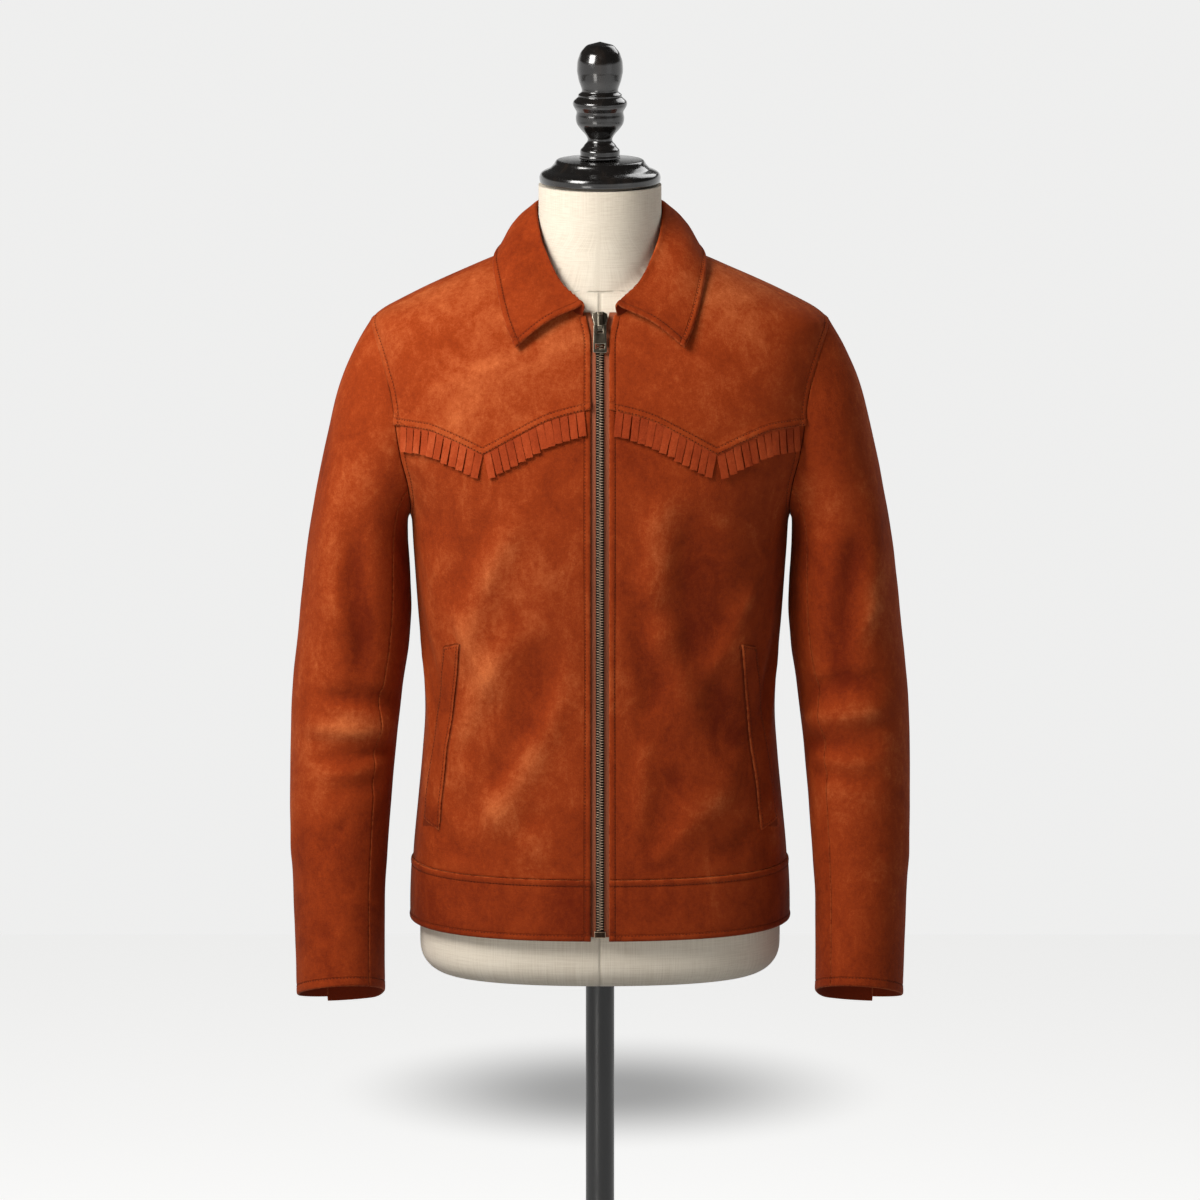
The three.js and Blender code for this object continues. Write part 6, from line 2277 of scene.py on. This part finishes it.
@dataclass
class Collar:
    """One-piece spread collar that rises, rolls over and falls to its points."""

    stitch: float = 6.5
    lap: float = 3.5
    along: int = 70
    across: int = 56
    cut: Cut = Cut(0.5, 0.135, 0.93)

    def section(self, along: float) -> Array:
        """One section from foot to edge, along from 0 at centre back to 1 at the front end."""
        foot_turn = float(Curve(COLLAR_FOOT_ROWS)(along))
        edge_point = self.neck(foot_turn)
        tangent = unit(self.neck(max(foot_turn - 1, 4)) - self.neck(min(foot_turn + 1, 180)))
        surface = TORSO.normal(foot_turn, float(TORSO.neckline(foot_turn)))
        into_neck = unit(np.cross(surface, tangent))
        if into_neck[2] < 0:
            into_neck = -into_neck
        roll, fall = self.place(COLLAR_ROLL_ROWS, along), self.place(COLLAR_EDGE_ROWS, along)
        outward = unit((fall - roll) * np.array([1, 1, 0]))
        rise = unit(roll - edge_point)
        thick = unit(np.cross(tangent, rise))
        if thick @ outward < 0:
            thick = -thick
        foot = edge_point - into_neck * self.lap - thick * SUEDE
        up = np.array([0, 0, 1.0])
        before = roll - outward * 2 - up * 3.5
        after = roll + outward * 4.6 - up * 3
        crown = after + (fall - after) * 0.45 + outward * 2.5 + up * 3.5
        middle = (foot + before) / 2
        return catmull([foot, middle, before, roll, after, crown, fall], self.across)

    def neck(self, turn: float) -> Array:
        """A point of the neckline."""
        return TORSO.point(turn, TORSO.neckline(turn))

    def place(self, rows: Sequence[Sequence[float]], along: float) -> Array:
        """A point of a table that starts at centre back."""
        mirrored = (-rows[1][0], -rows[1][1], rows[1][2], rows[1][3])
        return np.array([float(Curve([mirrored, *rows], k)(along)) for k in (1, 2, 3)])

    def build(self, material: bpy.types.Material, lines: Lines) -> bpy.types.Object:
        """Makes the collar.

        Args:
            material: The suede.
            lines: Where its stitching is collected.

        Returns:
            The collar.
        """
        ends = spread(np.array([250.0]), FINE, 4.5)[0]
        shares = np.concatenate([ends[ends <= 0.5], [0.5]])
        halfway = 1 - np.unique(shares) * 2
        whole = np.unique(np.concatenate([halfway, -halfway]))
        grid = []
        for share in whole:
            section = self.section(abs(float(share)))
            section[:, 0] *= 1 if share >= 0 else -1
            grid.append(section)
        points = np.array(grid)
        down, around = np.gradient(points, axis=1), np.gradient(points, axis=0)
        normals = unit(np.cross(down, around))
        mid = len(whole) // 2
        if normals[mid, -8] @ np.array([0, 1.0, 0]) < 0:
            normals = -normals
        leaf = smooth(np.linspace(0, 1, self.across), 0.5, 0.62)[None, :]
        wave = 0.7 * ripple(points * 0.6, 4.0) * leaf
        edges = {
            Edge.OUTER: EdgeFinish(stitch=self.stitch, roll=1.0, puff=0.8),
            Edge.BOTTOM: EdgeFinish(stitch=self.stitch, roll=1.0, puff=0.8),
            Edge.TOP: EdgeFinish(stitch=self.stitch, roll=1.0, puff=0.8),
            Edge.INNER: EdgeFinish(roll=0.6),
        }
        panel = Panel(points, normals, wave, edges, thick=SUEDE, tone=-0.1)
        piece = add_piece("cloth_collar", panel.mesh("cloth_collar"), material)
        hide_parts("collar")
        self.cut.declare(piece, "yoke_right", "yoke_left", "back")
        lines.add(panel.line(Edge.OUTER, self.stitch, self.stitch))
        for edge in (Edge.BOTTOM, Edge.TOP):
            line, out = panel.line(edge, self.stitch, 3)
            start = len(line) // 2
            lines.add((line[start:-2], out[start:-2]))
        LOG.info("collar is %.0f by %.0f mm", *panel.size)
        return piece


@dataclass
class Zip:
    """Tapes, teeth, box, slider and pull."""

    reveal: float = 5.2
    under: float = 8.0
    behind: float = 0.7
    tape: float = 0.9
    pitch: float = 1.35
    crown_y: float = 1.25
    crown_reach: float = 0.52
    chain_top_z: float = 1434.0
    chain_bottom_z: float = 838.6
    tape_bottom_z: float = 832.0
    tape_cut: Cut = Cut(0.0132, 0.622, 1.0)

    def tooth(self) -> bpy.types.Object:
        """One tooth: a waisted bar with a rounded head, reaching to +Y."""
        outline = ((-1.1, 0.4), (-0.5, 0.56), (1.2, 0.6), (3.0, 0.5), (4.0, 0.36))
        rows = []
        for level, shrink in ((-0.9, 1.0), (0.0, 1.0), (0.6, 0.62)):
            for sign in (1, -1):
                order = outline if sign > 0 else outline[::-1]
                reach = self.crown_reach if level > 0.5 else 1.0
                middle = self.crown_y if level > 0.5 else 0.0
                rows.append([(sign * half * shrink, middle + y * reach, level) for y, half in order])
        rings = [rows[k] + rows[k + 1] for k in (0, 2, 4)]
        points = np.array([p for ring in rings for p in ring], float)
        n = len(rings[0])
        faces = [
            (k * n + i, k * n + (i + 1) % n, (k + 1) * n + (i + 1) % n, (k + 1) * n + i)
            for k in range(2)
            for i in range(n)
        ]
        mesh = bpy.data.meshes.new("tooth")
        caps = [tuple(range(n))[::-1], tuple(range(2 * n, 3 * n))]
        mesh.from_pydata((points * MM).tolist(), [], [*faces, *caps])
        edit = bmesh.new()
        edit.from_mesh(mesh)
        bmesh.ops.recalc_face_normals(edit, faces=edit.faces)
        # Outward faces are marked bright: crowns rubbed by the slider, and a painted highlight on each tooth.
        worn = edit.faces.layers.float.new("worn")
        for face in edit.faces:
            face[worn] = smooth(face.normal.z, 0.85, 0.99)
        edit.to_mesh(mesh)
        edit.free()
        made = bpy.data.objects.new("tooth", mesh)
        bpy.context.scene.collection.objects.link(made)
        return made

    def chain_line(self, x: float, low: float, high: float) -> Line:
        """A line up the front at a distance from the centre, with its normals."""
        z = np.linspace(low, high, 240)
        turn = np.sign(x) * TORSO.turn_at(abs(x), z) if x else np.zeros_like(z)
        return TORSO.point(turn, z), TORSO.normal(turn, z)

    def teeth(self, material: bpy.types.Material) -> None:
        """Sets the teeth in turn from both tapes."""
        tooth = self.tooth()
        tree = Repeat(
            "zip_teeth",
            {
                "Pitch": ("NodeSocketFloat", self.pitch * MM),
                "Tooth": ("NodeSocketObject", tooth),
            },
        )
        points = tree.points_along(tree.given("Pitch"))
        form = tree.node("GeometryNodeObjectInfo", {}, {"Object": tree.given("Tooth")}).outputs["Geometry"]
        index = tree.num("GeometryNodeInputIndex")
        half_turn = index.apply("MODULO", 2.0) * math.pi
        copies = tree.node(
            "GeometryNodeInstanceOnPoints",
            {},
            {"Points": points, "Instance": form, "Rotation": tree.facing(half_turn)},
        )
        tree.close(copies, material)
        line = self.chain_line(0.0, self.chain_bottom_z + 1, self.chain_top_z + 2)
        piece = tree.apply(path_object("zip_teeth_path", [line], 0.25), "zip_teeth", material)
        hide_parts("zip_chain")
        bpy.data.objects.remove(tooth)

    def tapes(self, material: bpy.types.Material) -> None:
        """Makes both tapes, which reach under the teeth, where their colour is painted near-black as shade."""
        for side in Side:
            z = np.linspace(self.tape_bottom_z, NECK_FRONT_Z + 3, 150)
            v, u = np.meshgrid(z, np.linspace(0, 1, 9), indexing="ij")
            edge = TORSO.front_edge_x(v)
            inner = np.where(v < self.chain_top_z, 0.15, edge - self.reveal)
            ease = smooth(v, self.chain_top_z - 8, self.chain_top_z + 8)
            inner = 0.15 + (edge - self.reveal - 0.15) * ease
            x = inner + (edge + self.under - inner) * u
            turn = side.value * TORSO.turn_at(x, v)
            panel = Panel(
                TORSO.point(turn, v), TORSO.normal(turn, v), np.zeros(v.shape), {e: EdgeFinish(roll=0.2) for e in Edge},
                out=-SUEDE - self.behind, thick=self.tape, calm=0.0,
            )
            name = "tape_" + side.word
            piece = add_piece(name, panel.mesh(name), material)
            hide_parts("zip_tape_" + side.word)
            self.tape_cut.declare(piece, "front_" + side.word)

    def metal_copy(self, node: str, name: str, bevel: float, material: bpy.types.Material, body: str) -> bpy.types.Object:
        """A copy of a solid with rounded edges.

        Args:
            node: The solid it stands for.
            name: The piece's name.
            bevel: Width of the rounding, in millimetres.
            material: Its finish.
            body: The body it rides on.

        Returns:
            The piece.
        """
        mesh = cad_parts[node].data.copy()
        edit = bmesh.new()
        edit.from_mesh(mesh)
        bmesh.ops.remove_doubles(edit, verts=edit.verts, dist=2e-6)
        bmesh.ops.dissolve_limit(edit, angle_limit=math.radians(1), verts=edit.verts, edges=edit.edges)
        sharp = [e for e in edit.edges if e.calc_face_angle(0) > math.radians(25)]
        # The rounded edges are marked bright: wear, and a painted highlight along the rims.
        worn = edit.faces.layers.float.new("worn")
        rounded = bmesh.ops.bevel(
            edit, geom=sharp, offset=bevel * MM, segments=2, profile=0.6, affect="EDGES", clamp_overlap=True
        )
        for face in rounded["faces"]:
            face[worn] = 1.0
        edit.to_mesh(mesh)
        edit.free()
        mesh.name = name
        mesh.shade_smooth()
        mesh.set_sharp_from_angle(angle=math.radians(35))
        piece = add_piece(name, mesh, material, body)
        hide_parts(node)
        return piece

    def build(self, brass: bpy.types.Material, bright: bpy.types.Material, tape: bpy.types.Material) -> None:
        """Makes the zip.

        Args:
            brass: Finish of the teeth and box.
            bright: Finish of the slider and pull.
            tape: Finish of the tapes.
        """
        self.tapes(tape)
        self.teeth(brass)
        self.metal_copy("zip_box", "zip_foot_box", 0.4, brass, BODY)
        self.metal_copy("zip_slider", "slider", 0.45, bright, BODY)
        self.metal_copy("zip_pull", "pull_tab", 0.22, bright, PULL_BODY)


def main() -> None:
    """Builds the form, the jacket and the studio."""
    logging.basicConfig(level=logging.INFO, format="%(message)s")
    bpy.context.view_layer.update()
    suede = SuedeFinish().material()
    fringe_suede = SuedeFinish(
        "suede_fringe", (0.62, 0.15, 0.052), (0.37, 0.052, 0.012), (0.2, 0.022, 0.0045)
    ).material()
    # The thread is dark rust, darker than the suede: partly its own colour, partly painted shade of the stitches sunk
    # into the suede.
    thread = ThreadFinish("suede_thread", (0.13, 0.02, 0.005), (0.07, 0.01, 0.0025)).material()
    lacquer, enamel = LacquerFinish().material(), EnamelFinish().material()
    lines = Lines()
    DressForm().build(LinenFinish().material())
    Turned("cap", "neck_cap", "black_lacquer", rounded_profile(CAP_PROFILE, 1.6)).build(lacquer)
    Turned("turned_finial", "finial", "black_lacquer", rounded_profile(FINIAL_PROFILE, 2.6)).build(lacquer)
    Turned("pole", "stand_pole", "black_enamel", rounded_profile(POLE_PROFILE, 0.6), 64).build(enamel)
    Turned("round_base", "stand_base", "black_enamel", rounded_profile(BASE_PROFILE, 2.5), 160).build(enamel)
    LOG.info("form and stand are built")
    JacketBody().build(suede, lines)
    PocketWelts().build(suede, lines)
    Sleeves().build(suede, lines)
    Collar().build(suede, lines)
    LOG.info("cloth is built")
    Fringe().build(fringe_suede)
    Zip().build(
        BrassFinish().material(),
        BrassFinish("dark_brass", (0.42, 0.37, 0.29), (0.06, 0.05, 0.037)).material(),
        TapeFinish().material(),
    )
    seams = Stitching().build("topstitching", lines.suede, thread)
    LOG.info("topstitching has %d faces", len(seams.data.polygons))
    Studio().build()


if __name__ == "__main__":
    main()
